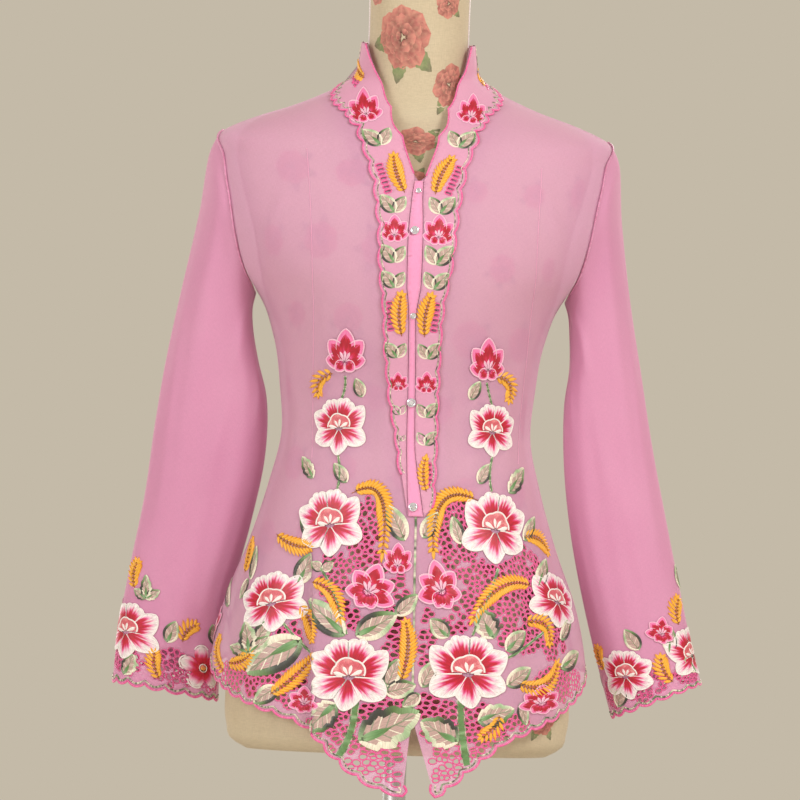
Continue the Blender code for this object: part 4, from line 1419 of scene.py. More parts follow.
class Drawing:
    """Sewing drawn flat in millimetres: across, up, and the height over the cloth."""

    def __init__(self, seed: int = 1) -> None:
        """Starts an empty drawing.

        Args:
            seed: The seed of its uneven stitches.
        """
        self.chance = np.random.default_rng(seed)
        self.points: list[Array] = []
        self.cells: list[Array] = []
        self.colours: list[Array] = []
        self.stitches: list[Array] = []
        self.count = 0

    def add(self, flat: Array, height: Array, colours: Array, stitches: Array, cells: Array) -> None:
        """Adds a patch.

        Args:
            flat: Its points across and up.
            height: Their heights.
            colours: Their thread colours.
            stitches: Their places across and along the threads.
            cells: The cells' corners.
        """
        self.points.append(np.column_stack([flat, height]))
        self.cells.append(facing(flat, cells, 1.0) + self.count)
        self.colours.append(colours)
        self.stitches.append(stitches)
        self.count += len(flat)

    def ragged(self, s: Array, amount: float) -> Array:
        """A shift of the colours for each column, so that long and short stitches mix."""
        knots = np.unique(s)
        return np.interp(s, knots, self.chance.uniform(-amount, amount, len(knots)))

    def blade(
        self,
        start: tuple[float, float],
        tip: tuple[float, float],
        half_width: float,
        stops: Stops,
        rise: tuple[float, float] = (0.32, 0.8),
        sharp: tuple[float, float] = (0.8, 0.85),
        bend: float = 0.0,
        teeth: int = 0,
        ragged: float = 0.1,
        cells: tuple[int, int] = (4, 7),
    ) -> None:
        """Adds a petal or leaflet, pointed at both ends.

        Args:
            start: Its base.
            tip: Its tip.
            half_width: Its half width where it is widest.
            stops: Its colours from base to tip.
            rise: Its height at the edge and along the middle.
            sharp: Where it is widest, and how full it is.
            bend: How far it bows sideways, as a share of its length.
            teeth: Teeth along each edge.
            ragged: How unevenly its colours meet.
            cells: Cells across and along.
        """
        places, corners = grid(*cells)
        s, t = places[:, 0], (places[:, 1] + 1) / 2
        ahead = np.subtract(tip, start)
        length = float(np.hypot(*ahead))
        ahead = ahead / length
        aside = np.array([-ahead[1], ahead[0]])
        swell = np.sin(np.pi * t ** sharp[0]).clip(0, 1) ** sharp[1]
        if teeth:
            swell = swell * (1.0 + 0.34 * ((t * teeth) % 1.0 - 0.5))
        across = s * half_width * swell + bend * length * np.sin(np.pi * t)
        flat = np.array(start) + np.outer(t * length, ahead) + np.outer(across, aside)
        height = rise[0] + (rise[1] - rise[0]) * np.sqrt(np.maximum(1 - s * s, 0.0))
        colours = shaded(stops, np.clip(t + self.ragged(s, ragged), 0, 1))
        self.add(flat, height, colours, np.column_stack([s * half_width, t * length]), corners)

    def sector(
        self,
        angles: tuple[float, float],
        inner: tuple[float, float],
        outer: tuple[float, float, float],
        peak: float,
        lobes: int,
        stops: Stops,
        rise: tuple[float, float] = (0.32, 0.75),
    ) -> Array:
        """Adds a broad petal between two rays from the flower's middle.

        Args:
            angles: The rays' angles in degrees.
            inner: Where it starts along each ray.
            outer: Where it ends along the first ray, at its peak and along the second ray.
            peak: The peak's share of the way between the rays.
            lobes: Small round lobes along its outer edge.
            stops: Its colours from the inside out.
            rise: Its height at the edge and along the middle.

        Returns:
            Its outline from the first ray's start over the outer edge to the second ray's start.
        """
        places, corners = grid(18, 10)
        s, t = (places[:, 0] + 1) / 2, (places[:, 1] + 1) / 2

        def reach(q: Array) -> Array:
            """How far out the edge lies at these shares."""
            plain = np.interp(q, [0, peak, 1], outer)
            soft = 0.5 * plain + 0.25 * np.interp(q - 0.08, [0, peak, 1], outer)
            soft = soft + 0.25 * np.interp(q + 0.08, [0, peak, 1], outer)
            return soft + (1.9 * np.abs(np.sin(np.pi * lobes * q)) ** 0.7 if lobes else 0.0)

        turn = np.radians(angles[0] + (angles[1] - angles[0]) * s)
        near = inner[0] + (inner[1] - inner[0]) * s
        radius = near + (reach(s) - near) * t
        flat = np.stack([radius * np.cos(turn), radius * np.sin(turn)], axis=1)
        bow = np.sqrt(np.maximum(1 - (2 * s - 1) ** 2, 0.0))
        height = rise[0] + (rise[1] - rise[0]) * bow * (0.55 + 0.45 * np.sin(np.pi * t))
        edge = 0.22 * np.abs(2 * s - 1) ** 2
        shade = t + edge + self.ragged(s, 0.17)
        colours = shaded(stops, np.clip(shade, 0, 1))
        self.add(flat, height, colours, np.column_stack([turn * 14.0, radius]), corners)
        q = np.linspace(0, 1, 22)
        rim_turn = np.radians(angles[0] + (angles[1] - angles[0]) * q)
        rim = np.stack([reach(q) * np.cos(rim_turn), reach(q) * np.sin(rim_turn)], axis=1)
        first, last = np.radians(angles[0]), np.radians(angles[1])
        ends = [(inner[0] * math.cos(first), inner[0] * math.sin(first))]
        closing = [(inner[1] * math.cos(last), inner[1] * math.sin(last))]
        return np.concatenate([np.array(ends), rim, np.array(closing)])

    def ribbon(
        self,
        path: Array,
        half_width: float | Array,
        stops: Stops,
        base: float = 0.3,
        height: float = 0.6,
        columns: int = 3,
        speckle: float = 0.0,
    ) -> None:
        """Adds a raised line of satin stitches.

        Args:
            path: The points that it follows.
            half_width: Its half width, or one for each point.
            stops: Its colours from start to end.
            base: The height of its edges.
            height: How far its middle stands over them.
            columns: Cells across.
            speckle: How unevenly it is coloured.
        """
        path = np.asarray(path, float)
        keep = np.concatenate([[True], np.linalg.norm(np.diff(path, axis=0), axis=1) > 1e-6])
        wide = np.broadcast_to(np.asarray(half_width, float), len(path))[keep]
        path = path[keep]
        places, corners = grid(columns, len(path) - 1)
        row = np.rint((places[:, 1] + 1) / 2 * (len(path) - 1)).astype(int)
        ahead = np.gradient(path, axis=0)
        ahead /= np.maximum(np.linalg.norm(ahead, axis=1), 1e-9)[:, None]
        aside = np.stack([-ahead[:, 1], ahead[:, 0]], axis=1)
        lengths = np.concatenate([[0.0], np.cumsum(np.linalg.norm(np.diff(path, axis=0), axis=1))])
        s = places[:, 0]
        flat = path[row] + aside[row] * (s * wide[row])[:, None]
        lift = base + height * np.sqrt(np.maximum(1 - s * s, 0.0))
        share = lengths / max(lengths[-1], 1e-9)
        if speckle:
            share = np.clip(share + self.chance.uniform(-speckle, speckle, len(share)), 0, 1)
        lies = np.column_stack([lengths[row], s * wide[row]])
        self.add(flat, lift, shaded(stops, share[row]), lies, corners)

    def merged(self) -> tuple[Array, Array, Array, Array]:
        """All points, cells, colours and stitch places in one table each."""
        return (
            np.concatenate(self.points),
            np.concatenate(self.cells),
            np.concatenate(self.colours),
            np.concatenate(self.stitches),
        )


def ray(angle: float, length: float, start: tuple[float, float] = (0.0, 0.0)) -> tuple[float, float]:
    """The point at this angle in degrees and this length from the start."""
    turn = math.radians(angle)
    return (start[0] + length * math.cos(turn), start[1] + length * math.sin(turn))


WHITE_LINE: Stops = ((0.0, Thread.WHITE), (1.0, Thread.WHITE))
PINK_LINE: Stops = ((0.0, Thread.PINK), (1.0, Thread.PINK))
BLUSH_LINE: Stops = ((0.0, Thread.BLUSH), (1.0, Thread.BLUSH))


class PeonyPetal(NamedTuple):
    """A peony's petal: its rays, its inner and outer reaches, its peak and its lobes."""

    first: float
    last: float
    inner_first: float
    inner_last: float
    outer_first: float
    tip: float
    outer_last: float
    peak: float
    lobes: int


PEONY_PETALS = (
    PeonyPetal(92, 133, 19, 18, 36, 39, 35, 0.5, 3),
    PeonyPetal(48, 92, 18, 19, 35, 40, 36, 0.5, 3),
    PeonyPetal(133, 182, 18, 13, 35, 44, 31, 0.35, 0),
    PeonyPetal(-2, 48, 13, 18, 31, 47, 35, 0.82, 0),
    PeonyPetal(182, 238, 6, 3.5, 31, 40, 26, 0.42, 2),
    PeonyPetal(-62, -2, 3.5, 6, 25, 41, 31, 0.52, 2),
    PeonyPetal(238, 298, 3.5, 3.5, 26, 37, 25, 0.4, 0),
)
PEONY_SIZE = 80.0
LOTUS_SIZE = 48.0
LEAF_SIZE = 20.0
LEAF_GROW = 1.18
CUFF_LEAF_GROW = 1.35
CUFF_BLOOM_GROW = 1.1
LEAF_LIFT = 0.45
BLOOM_LIFT = 0.85
SEAM_EASING = 40


def peony() -> Drawing:
    """A big open bloom: broad shaded petals, a speckled crown and white stamens.

    Returns:
        The drawing, PEONY_SIZE across, round the stamens' root.
    """
    drawing = Drawing(11)
    outlines = []
    for petal in PEONY_PETALS:
        outline = drawing.sector(
            (petal.first, petal.last),
            (petal.inner_first, petal.inner_last),
            (petal.outer_first, petal.tip, petal.outer_last),
            petal.peak,
            petal.lobes,
            PETAL_STOPS,
        )
        outlines.append(outline)
    for outline in outlines:
        drawing.ribbon(outline, 0.75, WHITE_LINE, base=0.45, height=0.55)
    places, corners = grid(16, 8)
    s, t = (places[:, 0] + 1) / 2, (places[:, 1] + 1) / 2
    turn = np.radians(4 + 172 * s)

    def crown(angle: Array, share: Array) -> Array:
        """How far out the crown reaches."""
        return (14.5 + 2.8 * np.sin(angle) + 2.0 * np.abs(np.sin(2.5 * np.pi * share)) ** 0.8) * 1.0

    radius = 1.5 + (crown(turn, s) - 1.5) * t
    flat = np.stack([radius * np.cos(turn), radius * np.sin(turn) + 0.5], axis=1)
    speck = drawing.chance.uniform(0, 1, len(flat))
    colours = shaded(((0.0, Thread.CORAL), (0.55, Thread.CORAL), (1.0, Thread.CORAL_LIGHT)), speck)
    height = 0.5 + 0.5 * np.sin(np.pi * t) + 0.18 * speck
    drawing.add(flat, height, colours, np.column_stack([turn * 8, radius]), corners)
    q = np.linspace(0, 1, 40)
    angle = np.radians(4 + 172 * q)
    rim = np.stack([crown(angle, q) * np.cos(angle), crown(angle, q) * np.sin(angle) + 0.5], axis=1)
    drawing.ribbon(rim, 1.0, WHITE_LINE, base=0.6, height=0.8)
    for angle_deg, length, wide in ((165, 15.5, 2.6), (118, 12, 2.2), (78, 12.5, 2.3), (28, 15, 2.8)):
        drawing.blade((0, 0), ray(angle_deg, length), wide, WHITE_LINE, rise=(0.8, 1.5), sharp=(2.0, 0.8))
    return drawing


class LotusPetal(NamedTuple):
    """A lotus petal: its angle, length and half width."""

    angle: float
    length: float
    half_width: float


OPEN_LOTUS = (
    LotusPetal(98, 27, 8.6),
    LotusPetal(48, 24, 8.0),
    LotusPetal(150, 22, 8.0),
    LotusPetal(5, 24, 7.8),
    LotusPetal(205, 20, 7.2),
    LotusPetal(258, 16, 7.6),
    LotusPetal(312, 15, 6.8),
)
FAN_LOTUS = (
    LotusPetal(174, 20, 7.2),
    LotusPetal(6, 20, 7.2),
    LotusPetal(132, 26, 8.2),
    LotusPetal(48, 26, 8.2),
    LotusPetal(90, 30, 9.4),
    LotusPetal(218, 12, 5.4),
    LotusPetal(-38, 12, 5.4),
)
FAN_DROP = -11.0


def lotus(petals: Sequence[LotusPetal], stamens: Sequence[float], drop: float = 0.0) -> Drawing:
    """A lotus: pointed pink petals, each with a red heart, and pink stamens.

    Args:
        petals: Its petals.
        stamens: The stamens' angles.
        drop: Where its heart lies, up from the drawing's middle.

    Returns:
        The drawing, about LOTUS_SIZE across.
    """
    drawing = Drawing(23)
    heart = (0.0, drop)
    t = np.linspace(0, 1, 15)
    swell = np.sin(np.pi * t**0.95).clip(0, 1) ** 0.66
    for number, petal in enumerate(petals):
        step = 0.06 * number
        rise = (0.3 + step, 0.7 + step)
        tip = ray(petal.angle, petal.length, heart)
        drawing.blade(heart, tip, petal.half_width, LOTUS_STOPS, rise, (0.95, 0.66), cells=(6, 8))
        root = ray(petal.angle, petal.length * 0.14, heart)
        end = ray(petal.angle, petal.length * 0.84, heart)
        rise = (0.6 + step, 1.0 + step)
        drawing.blade(root, end, petal.half_width * 0.66, HEART_STOPS, rise, (0.85, 0.7), cells=(8, 9), ragged=0.2)
        ahead = np.array(ray(petal.angle, 1.0))
        for way in (-1, 1):
            aside = way * np.array([-ahead[1], ahead[0]])
            edge = np.array(heart) + np.outer(t * petal.length, ahead) + np.outer(swell * petal.half_width, aside)
            drawing.ribbon(edge, 0.7, BLUSH_LINE, base=0.4 + step, height=0.5)
    for angle in stamens:
        tip = ray(angle, 10.5, heart)
        drawing.blade((0, drop - 1), tip, 1.5, BLUSH_LINE, (1.2, 2.0), (2.0, 0.8), cells=(4, 5))
    return drawing


class LeafKind(Enum):
    """The shapes of leaf."""

    PLAIN = "plain"
    SERRATED = "serrated"
    SATIN = "satin"


def leaf(kind: LeafKind, wide: float, seed: int) -> Drawing:
    """A leaf with sheer ground, fine veins and a shaded satin outline.

    Args:
        kind: Its shape.
        wide: Its half width, for a length of LEAF_SIZE.
        seed: The seed of its stitches.

    Returns:
        The drawing, from its stalk up.
    """
    drawing = Drawing(seed)
    length = LEAF_SIZE
    teeth = 4 if kind is LeafKind.SERRATED else 0
    drawing.blade(
        (0, 0), (0, length), wide, LEAF_STOPS, rise=(0.3, 0.42), sharp=(0.8, 0.8), teeth=teeth, cells=(4, 12)
    )
    t = np.linspace(0.0, 1.0, 15 if not teeth else 17)
    swell = np.sin(np.pi * t**0.8).clip(0, 1) ** 0.8
    if teeth:
        swell = swell * (1 + 0.34 * ((t * teeth) % 1 - 0.5))
    thick = 0.7 + 0.5 * np.sin(np.pi * t)
    left = np.stack([-wide * swell, t * length], axis=1)
    right = np.stack([wide * swell, t * length], axis=1)
    dark = (
        (0.0, Thread.CELADON),
        (0.25, Thread.CHARCOAL),
        (0.55, Thread.CHARCOAL),
        (0.7, Thread.MOSS),
        (1.0, Thread.CELADON),
    )
    pale = ((0.0, Thread.CREAM), (0.4, Thread.CREAM), (0.7, Thread.CELADON), (1.0, Thread.CREAM))
    drawing.ribbon(left, thick, dark, base=0.35, height=0.5)
    drawing.ribbon(right, thick, pale, base=0.35, height=0.5)
    middle = np.stack([0.06 * wide * np.sin(np.pi * t), t * length * 0.92], axis=1)
    drawing.ribbon(middle, 0.28, ((0.0, Thread.MOSS), (1.0, Thread.LEAF_VEIN)), base=0.38, height=0.3, columns=2)
    for number in range(5):
        low = 0.16 + 0.14 * number
        for side in (-1, 1):
            reach = wide * float(np.sin(np.pi * min(low + 0.18, 1.0) ** 0.8)) ** 0.8 * 0.82
            vein = [
                (0.0, low * length),
                (side * reach * 0.6, (low + 0.11) * length),
                (side * reach, (low + 0.19) * length),
            ]
            tone = Thread.CREAM if (number + (side > 0)) % 2 else Thread.LEAF_VEIN
            drawing.ribbon(np.array(vein), 0.2, ((0.0, tone), (1.0, tone)), base=0.38, height=0.22, columns=2)
    if kind is not LeafKind.PLAIN:
        drawing.blade((0, -0.5), (0.1 * wide, length * 0.52), 0.2 * wide + 0.3, SATIN_STOPS, rise=(0.45, 1.0))
    return drawing


def fern(points: Sequence[tuple[float, float]], seed: int, spread: float = 14.0) -> Drawing:
    """A gold frond of small leaflets along a curved spine.

    Args:
        points: The spine's start, the point that draws it, and its end.
        seed: The seed of its stitches.
        spread: The leaflets' length.

    Returns:
        The drawing.
    """
    drawing = Drawing(seed)
    spine = bezier(points, 24)
    length = float(np.linalg.norm(np.diff(spine, axis=0), axis=1).sum())
    pairs = max(4, round(length / 4.0))
    for number in range(pairs):
        share = 0.05 + 0.9 * number / (pairs - 1)
        at = share * (len(spine) - 1)
        k = min(int(at), len(spine) - 2)
        here = spine[k] + (spine[k + 1] - spine[k]) * (at - k)
        heading = math.degrees(math.atan2(*(spine[k + 1] - spine[k])[::-1]))
        reach = spread * (0.55 + 0.45 * math.sin(math.pi * min(share * 1.15, 1.0)))
        for side in (-1, 1):
            tip = ray(heading + side * 44, reach, (float(here[0]), float(here[1])))
            drawing.blade(tuple(here), tip, 1.75, GOLD_STOPS, (0.4, 1.7), (1.1, 0.8), cells=(5, 6), ragged=0.2)
    drawing.ribbon(spine, 0.4, ((0.0, Thread.BRONZE), (1.0, Thread.AMBER)), base=0.5, height=0.6)
    tip = ray(heading, 6.0, (float(spine[-1][0]), float(spine[-1][1])))
    drawing.blade(tuple(spine[-2]), tip, 1.9, GOLD_STOPS, rise=(0.4, 1.5), cells=(4, 5))
    return drawing


def small_bloom(petals: int, size: float, heart: bool) -> Drawing:
    """A small round flower.

    Args:
        petals: How many petals it has.
        size: Its width.
        heart: Whether its petals have red hearts.

    Returns:
        The drawing, round its middle.
    """
    drawing = Drawing(31)
    for number in range(petals):
        angle = 90 + 360 * number / petals
        drawing.blade(
            (0, 0),
            ray(angle, size / 2),
            size * 0.17,
            PETAL_STOPS if heart else LOTUS_STOPS,
            rise=(0.32, 0.8),
            sharp=(1.3, 0.6),
            cells=(6, 7),
        )
        rim_turn = np.linspace(-0.9, 0.9, 9)
        middle = ray(angle, size * 0.34)
        rim = [ray(angle + math.degrees(a) * 1.3, size * 0.165, middle) for a in rim_turn]
        drawing.ribbon(np.array(rim), 0.6, WHITE_LINE if heart else PINK_LINE, base=0.45, height=0.5)
    turns = np.linspace(0, 2 * math.pi, 13)
    knot: Stops = ((0.0, Thread.GOLD), (1.0, Thread.CORAL))
    drawing.blade((0, -size * 0.06), (0, size * 0.09), size * 0.07, knot, rise=(0.8, 1.4))
    ring = np.stack([np.cos(turns), np.sin(turns)], axis=1) * size * 0.09
    drawing.ribbon(ring, 0.45, WHITE_LINE, base=0.6, height=0.6)
    return drawing


def rose(seed: int) -> Drawing:
    """A full rose as it is printed on the form's linen, flat, with three leaves.

    Args:
        seed: The seed of its petals.

    Returns:
        The drawing, 40 across.
    """
    drawing = Drawing(seed)
    chance = drawing.chance
    green: Stops = ((0.0, Thread.CHARCOAL), (0.6, Thread.MOSS), (1.0, Thread.CHARCOAL))
    for angle in (200, 318, 262):
        drawing.blade(ray(angle, 8), ray(angle, 27), 5.5, green, rise=(0.1, 0.12), teeth=5, cells=(4, 10))
    shades: Stops = ((0.0, Thread.ROSE_DARK), (0.5, Thread.ROSE), (1.0, Thread.ROSE_LIGHT))
    for ring, (count, reach, wide) in enumerate(((7, 19, 7.5), (6, 14, 6.0), (5, 9, 4.4), (3, 5, 2.6))):
        for number in range(count):
            angle = 360 * (number + 0.5 * (ring % 2)) / count + chance.uniform(-9, 9)
            lift = 0.14 + 0.03 * ring
            drawing.blade(
                ray(angle, reach * 0.15),
                ray(angle, reach),
                wide,
                shades,
                rise=(lift, lift + 0.02),
                sharp=(1.5, 0.5),
                ragged=0.3,
                cells=(6, 6),
            )
    return drawing


# Meshes from the drawings.


def facing(places: Array, faces: Array, sign: float) -> Array:
    """The faces, each turned so that its flat area has this sign.

    Args:
        places: The flat points.
        faces: The faces' corners.
        sign: 1 for anticlockwise, -1 for clockwise.

    Returns:
        The turned faces.
    """
    first, second, last = (places[faces[:, k]] for k in (0, 1, -1))
    ahead, back = second - first, last - first
    area = ahead[:, 0] * back[:, 1] - ahead[:, 1] * back[:, 0]
    turned = faces.copy()
    wrong = area * sign < 0
    turned[wrong] = faces[wrong][:, ::-1]
    return turned


def piece_from(
    name: str,
    points: Array,
    faces: Array,
    material: bpy.types.Material,
    marks: tuple[str, Array] | None = None,
    colours: Array | None = None,
) -> bpy.types.Object:
    """Makes a piece that rides with the blouse.

    Args:
        name: Its name.
        points: Its points in millimetres.
        faces: Its faces' corners.
        material: Its material.
        marks: The name of its UV map, and the place of each point on it.
        colours: The thread colour of each point.

    Returns:
        The piece.
    """
    mesh = bpy.data.meshes.new(name)
    mesh.from_pydata((points * MM).tolist(), [], faces.tolist())
    corners = np.empty(len(mesh.loops), np.int32)
    mesh.loops.foreach_get("vertex_index", corners)
    if marks is not None:
        layer = mesh.uv_layers.new(name=marks[0])
        layer.data.foreach_set("uv", marks[1][corners].astype(np.float32).ravel())
    if colours is not None:
        dyed = mesh.attributes.new("floss", "FLOAT_COLOR", "POINT")
        four = np.column_stack([colours, np.ones(len(colours))])
        dyed.data.foreach_set("color", four.astype(np.float32).ravel())
    mesh.materials.append(material)
    mesh.shade_smooth()
    piece = bpy.data.objects.new(name, mesh)
    bpy.context.scene.collection.objects.link(piece)
    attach(piece, BODY_NAME)
    LOG.info("%s: %d faces", name, len(faces))
    return piece


def flat_area(points: Array, faces: Array) -> float:
    """The area of triangles in square metres."""
    a, b, c = (points[faces[:, k]] for k in range(3))
    return float(np.linalg.norm(np.cross(b - a, c - a), axis=1).sum() / 2) * MM * MM


@dataclass(frozen=True)
class Cut:
    """The flat size that a piece of cloth was cut to, in metres, and how the cloth is held."""

    width: float
    length: float
    held: str
    rests_on: tuple[str, ...]


class Cloth:
    """One piece of cloth: its pattern, the surface that it lies on, and its finish."""

    def __init__(self, name: str, pattern: Pattern, surface: Surface, sign: float, lift: float = 0.0) -> None:
        """Lays the pattern on the surface.

        Args:
            name: The piece's name.
            pattern: The flat piece.
            surface: What it lies on.
            sign: 1 where the surface faces out for an anticlockwise face, otherwise -1.
            lift: Its height over the surface.
        """
        self.name = name
        used, numbers = np.unique(pattern.faces, return_inverse=True)
        self.flat = pattern.points[used]
        self.faces = facing(self.flat, numbers.reshape(pattern.faces.shape), sign)
        self.points = surface.place(self.flat[:, 0], self.flat[:, 1], lift)
        self.area = flat_area(self.points, self.faces)

    def made(self, material: bpy.types.Material, slot: str, replaces: Sequence[str]) -> bpy.types.Object:
        """Makes the piece, with its cloth's thickness.

        Args:
            material: Its material.
            slot: Not used.
            replaces: The solids that it stands for.

        Returns:
            The piece.
        """
        piece = piece_from(self.name, self.points, self.faces, material, ("cut", self.flat * MM))
        wall = piece.modifiers.new("wall", "SOLIDIFY")
        wall.thickness = CLOTH_THICKNESS * MM
        wall.offset = 0.0
        wall.use_even_offset = False
        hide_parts(*replaces)
        return piece


class Sewing:
    """Sewing that is joined into one piece: raised stitches, cords and welts."""

    def __init__(self, name: str, surface: Surface) -> None:
        """Starts the piece.

        Args:
            name: Its name.
            surface: What flat drawings are laid on.
        """
        self.name = name
        self.surface = surface
        self.points: list[Array] = []
        self.cells: list[Array] = []
        self.colours: list[Array] = []
        self.stitches: list[Array] = []
        self.count = 0

    def add(self, points: Array, cells: Array, colours: Array, stitches: Array) -> None:
        """Adds a patch that is already in place."""
        self.points.append(points)
        self.cells.append(cells + self.count)
        self.colours.append(colours)
        self.stitches.append(stitches)
        self.count += len(points)

    def lay(
        self,
        drawing: Drawing,
        middle: tuple[float, float],
        size: float = 1.0,
        turn: float = 0.0,
        mirrored: bool = False,
        lift: float = 0.0,
        squeeze: float = 1.0,
    ) -> None:
        """Lays a flat drawing on the surface.

        Args:
            drawing: The drawing.
            middle: Where its middle goes.
            size: Its scale.
            turn: Its turn in degrees, anticlockwise.
            mirrored: Whether it is mirrored from side to side first.
            lift: How high its cloth lies.
            squeeze: Its scale from side to side only.
        """
        points, cells, colours, stitches = drawing.merged()
        flat = points[:, :2] * (size * squeeze, size)
        if mirrored:
            flat = flat * (-1, 1)
            cells = cells[:, ::-1]
        angle = math.radians(turn)
        across = flat[:, 0] * math.cos(angle) - flat[:, 1] * math.sin(angle)
        up = flat[:, 0] * math.sin(angle) + flat[:, 1] * math.cos(angle)
        height = points[:, 2] * min(1.0, max(0.6, size)) + lift
        placed = self.surface.wrap(middle, np.stack([across, up], axis=1), height)
        self.add(placed, cells, colours, stitches)

    def rope(self, path: Array, radius: float, stops: Stops, sides: int = 6, speckle: float = 0.06) -> None:
        """Adds a whole round cord.

        Args:
            path: The points in space that it follows.
            radius: Its radius.
            stops: Its colours from start to end.
            sides: Its sides.
            speckle: How unevenly it is coloured.
        """
        keep = np.concatenate([[True], np.linalg.norm(np.diff(path, axis=0), axis=1) > 1e-4])
        path = path[keep]
        ahead = np.gradient(path, axis=0)
        ahead /= np.linalg.norm(ahead, axis=1)[:, None]
        out = path * (1, 1, 0)
        out /= np.maximum(np.linalg.norm(out, axis=1), 1e-9)[:, None]
        aside = np.cross(ahead, out)
        aside /= np.maximum(np.linalg.norm(aside, axis=1), 1e-9)[:, None]
        over = np.cross(aside, ahead)
        places, corners = grid(sides, len(path) - 1)
        row = np.rint((places[:, 1] + 1) / 2 * (len(path) - 1)).astype(int)
        turn = -math.pi * places[:, 0]
        ring = aside[row] * np.cos(turn)[:, None] + over[row] * np.sin(turn)[:, None]
        points = path[row] + ring * radius
        lengths = np.concatenate([[0.0], np.cumsum(np.linalg.norm(np.diff(path, axis=0), axis=1))])
        share = lengths / lengths[-1]
        chance = np.random.default_rng(len(path))
        share = np.clip(share + chance.uniform(-speckle, speckle, len(share)), 0, 1)
        stitches = np.column_stack([lengths[row], places[:, 0] * radius * 3])
        self.add(points, corners, shaded(stops, share[row]), stitches)

    def made(self, material: bpy.types.Material, slot: str) -> bpy.types.Object:
        """Makes the piece."""
        return piece_from(
            self.name,
            np.concatenate(self.points),
            np.concatenate(self.cells),
            material,
            ("stitch", np.concatenate(self.stitches)),
            np.concatenate(self.colours),
        )


BAR_STOPS: Stops = ((0.0, Thread.BAR), (0.5, Thread.HOT), (1.0, Thread.BAR))
EDGE_STOPS: Stops = ((0.0, Thread.HOT), (0.5, Thread.PINK), (1.0, Thread.HOT))
WELT_STOPS: Stops = ((0.0, Thread.SEAM), (1.0, Thread.SEAM))


def repeated(stops: Stops, times: int) -> list[tuple[float, Thread]]:
    """The row of colours, repeated along a long cord."""
    row = [(share, thread) for share, thread in stops]
    return [((k + share * 0.999) / times, thread) for k in range(times) for share, thread in row]


def shifted(line: Array, distance: float) -> Array:
    """The flat line moved to its left by this distance."""
    ahead = np.gradient(line, axis=0)
    ahead /= np.maximum(np.linalg.norm(ahead, axis=1), 1e-9)[:, None]
    return line + np.stack([-ahead[:, 1], ahead[:, 0]], axis=1) * distance


def eased(line: Array) -> Array:
    """The line with its small kinks smoothed away, between the same ends."""
    line = line.copy()
    for _ in range(SEAM_EASING):
        line[1:-1] = (line[:-2] + 2 * line[1:-1] + line[2:]) / 4
    return line


def chart_line(line: Sequence[tuple[float, float]]) -> Array:
    """A line of body coordinates as lengths round the body and levels."""
    return np.array([(BODY.arc(u, level), level) for u, level in line])


def spot(across: float, height: float) -> tuple[float, float]:
    """The length round the body and the level of a front point, given as it is seen."""
    u, level = BODY.seen(np.array([across]), np.array([height]))
    return (BODY.arc(float(u[0]), float(level[0])), float(level[0]))


# The sewn flowers.


class Kind(Enum):
    """The kinds of sewn flower."""

    PEONY = "peony"
    LOTUS = "lotus"
    FAN = "fan"
    SMALL = "small"
    FIVE = "five"
    MAPLE = "maple"


class Bloom(NamedTuple):
    """A flower: its heart as it is seen, its width and height in all, and its turn."""

    kind: Kind
    across: float
    height: float
    wide: float
    tall: float
    turn: float


class LeafRow(NamedTuple):
    """A leaf from its stalk to its tip, as they are seen, with its half width."""

    base_across: float
    base_height: float
    tip_across: float
    tip_height: float
    half_width: float
    kind: LeafKind


class FernRow(NamedTuple):
    """A gold frond: its spine's start, the point that draws it and its end, as they are seen."""

    start_across: float
    start_height: float
    pull_across: float
    pull_height: float
    end_across: float
    end_height: float


class StemRow(NamedTuple):
    """A stem, with its half width at both ends."""

    start_across: float
    start_height: float
    pull_across: float
    pull_height: float
    end_across: float
    end_height: float
    start_half: float
    end_half: float


BLOOMS = {
    -1: (
        Bloom(Kind.FAN, -62, 728, 40, 44, 0),
        Bloom(Kind.PEONY, -66, 650, 52, 57, 4),
        Bloom(Kind.PEONY, -72, 554, 60, 66, 8),
        Bloom(Kind.PEONY, -127.4, 474, 50, 58, 14),
        Bloom(Kind.LOTUS, -32, 489, 50, 48, -28),
        Bloom(Kind.FAN, -4, 524, 29, 31, 0),
        Bloom(Kind.PEONY, -48.6, 405.4, 76, 72, 0),
        Bloom(Kind.MAPLE, -147.3, 424.6, 30, 34, 12),
        Bloom(Kind.LOTUS, -184, 447, 34, 34, 20),
        Bloom(Kind.LOTUS, -96, 377, 30, 28, -10),
    ),
    1: (
        Bloom(Kind.FAN, 78, 724, 36, 43, 0),
        Bloom(Kind.PEONY, 85, 651, 48, 52, -4),
        Bloom(Kind.PEONY, 91, 554, 60, 70, -6),
        Bloom(Kind.LOTUS, 40, 492, 42, 52, 22),
        Bloom(Kind.PEONY, 153, 484, 42, 52, -12),
        Bloom(Kind.PEONY, 68, 412, 72, 72, 0),
        Bloom(Kind.LOTUS, 141, 384, 30, 30, 10),
    ),
}

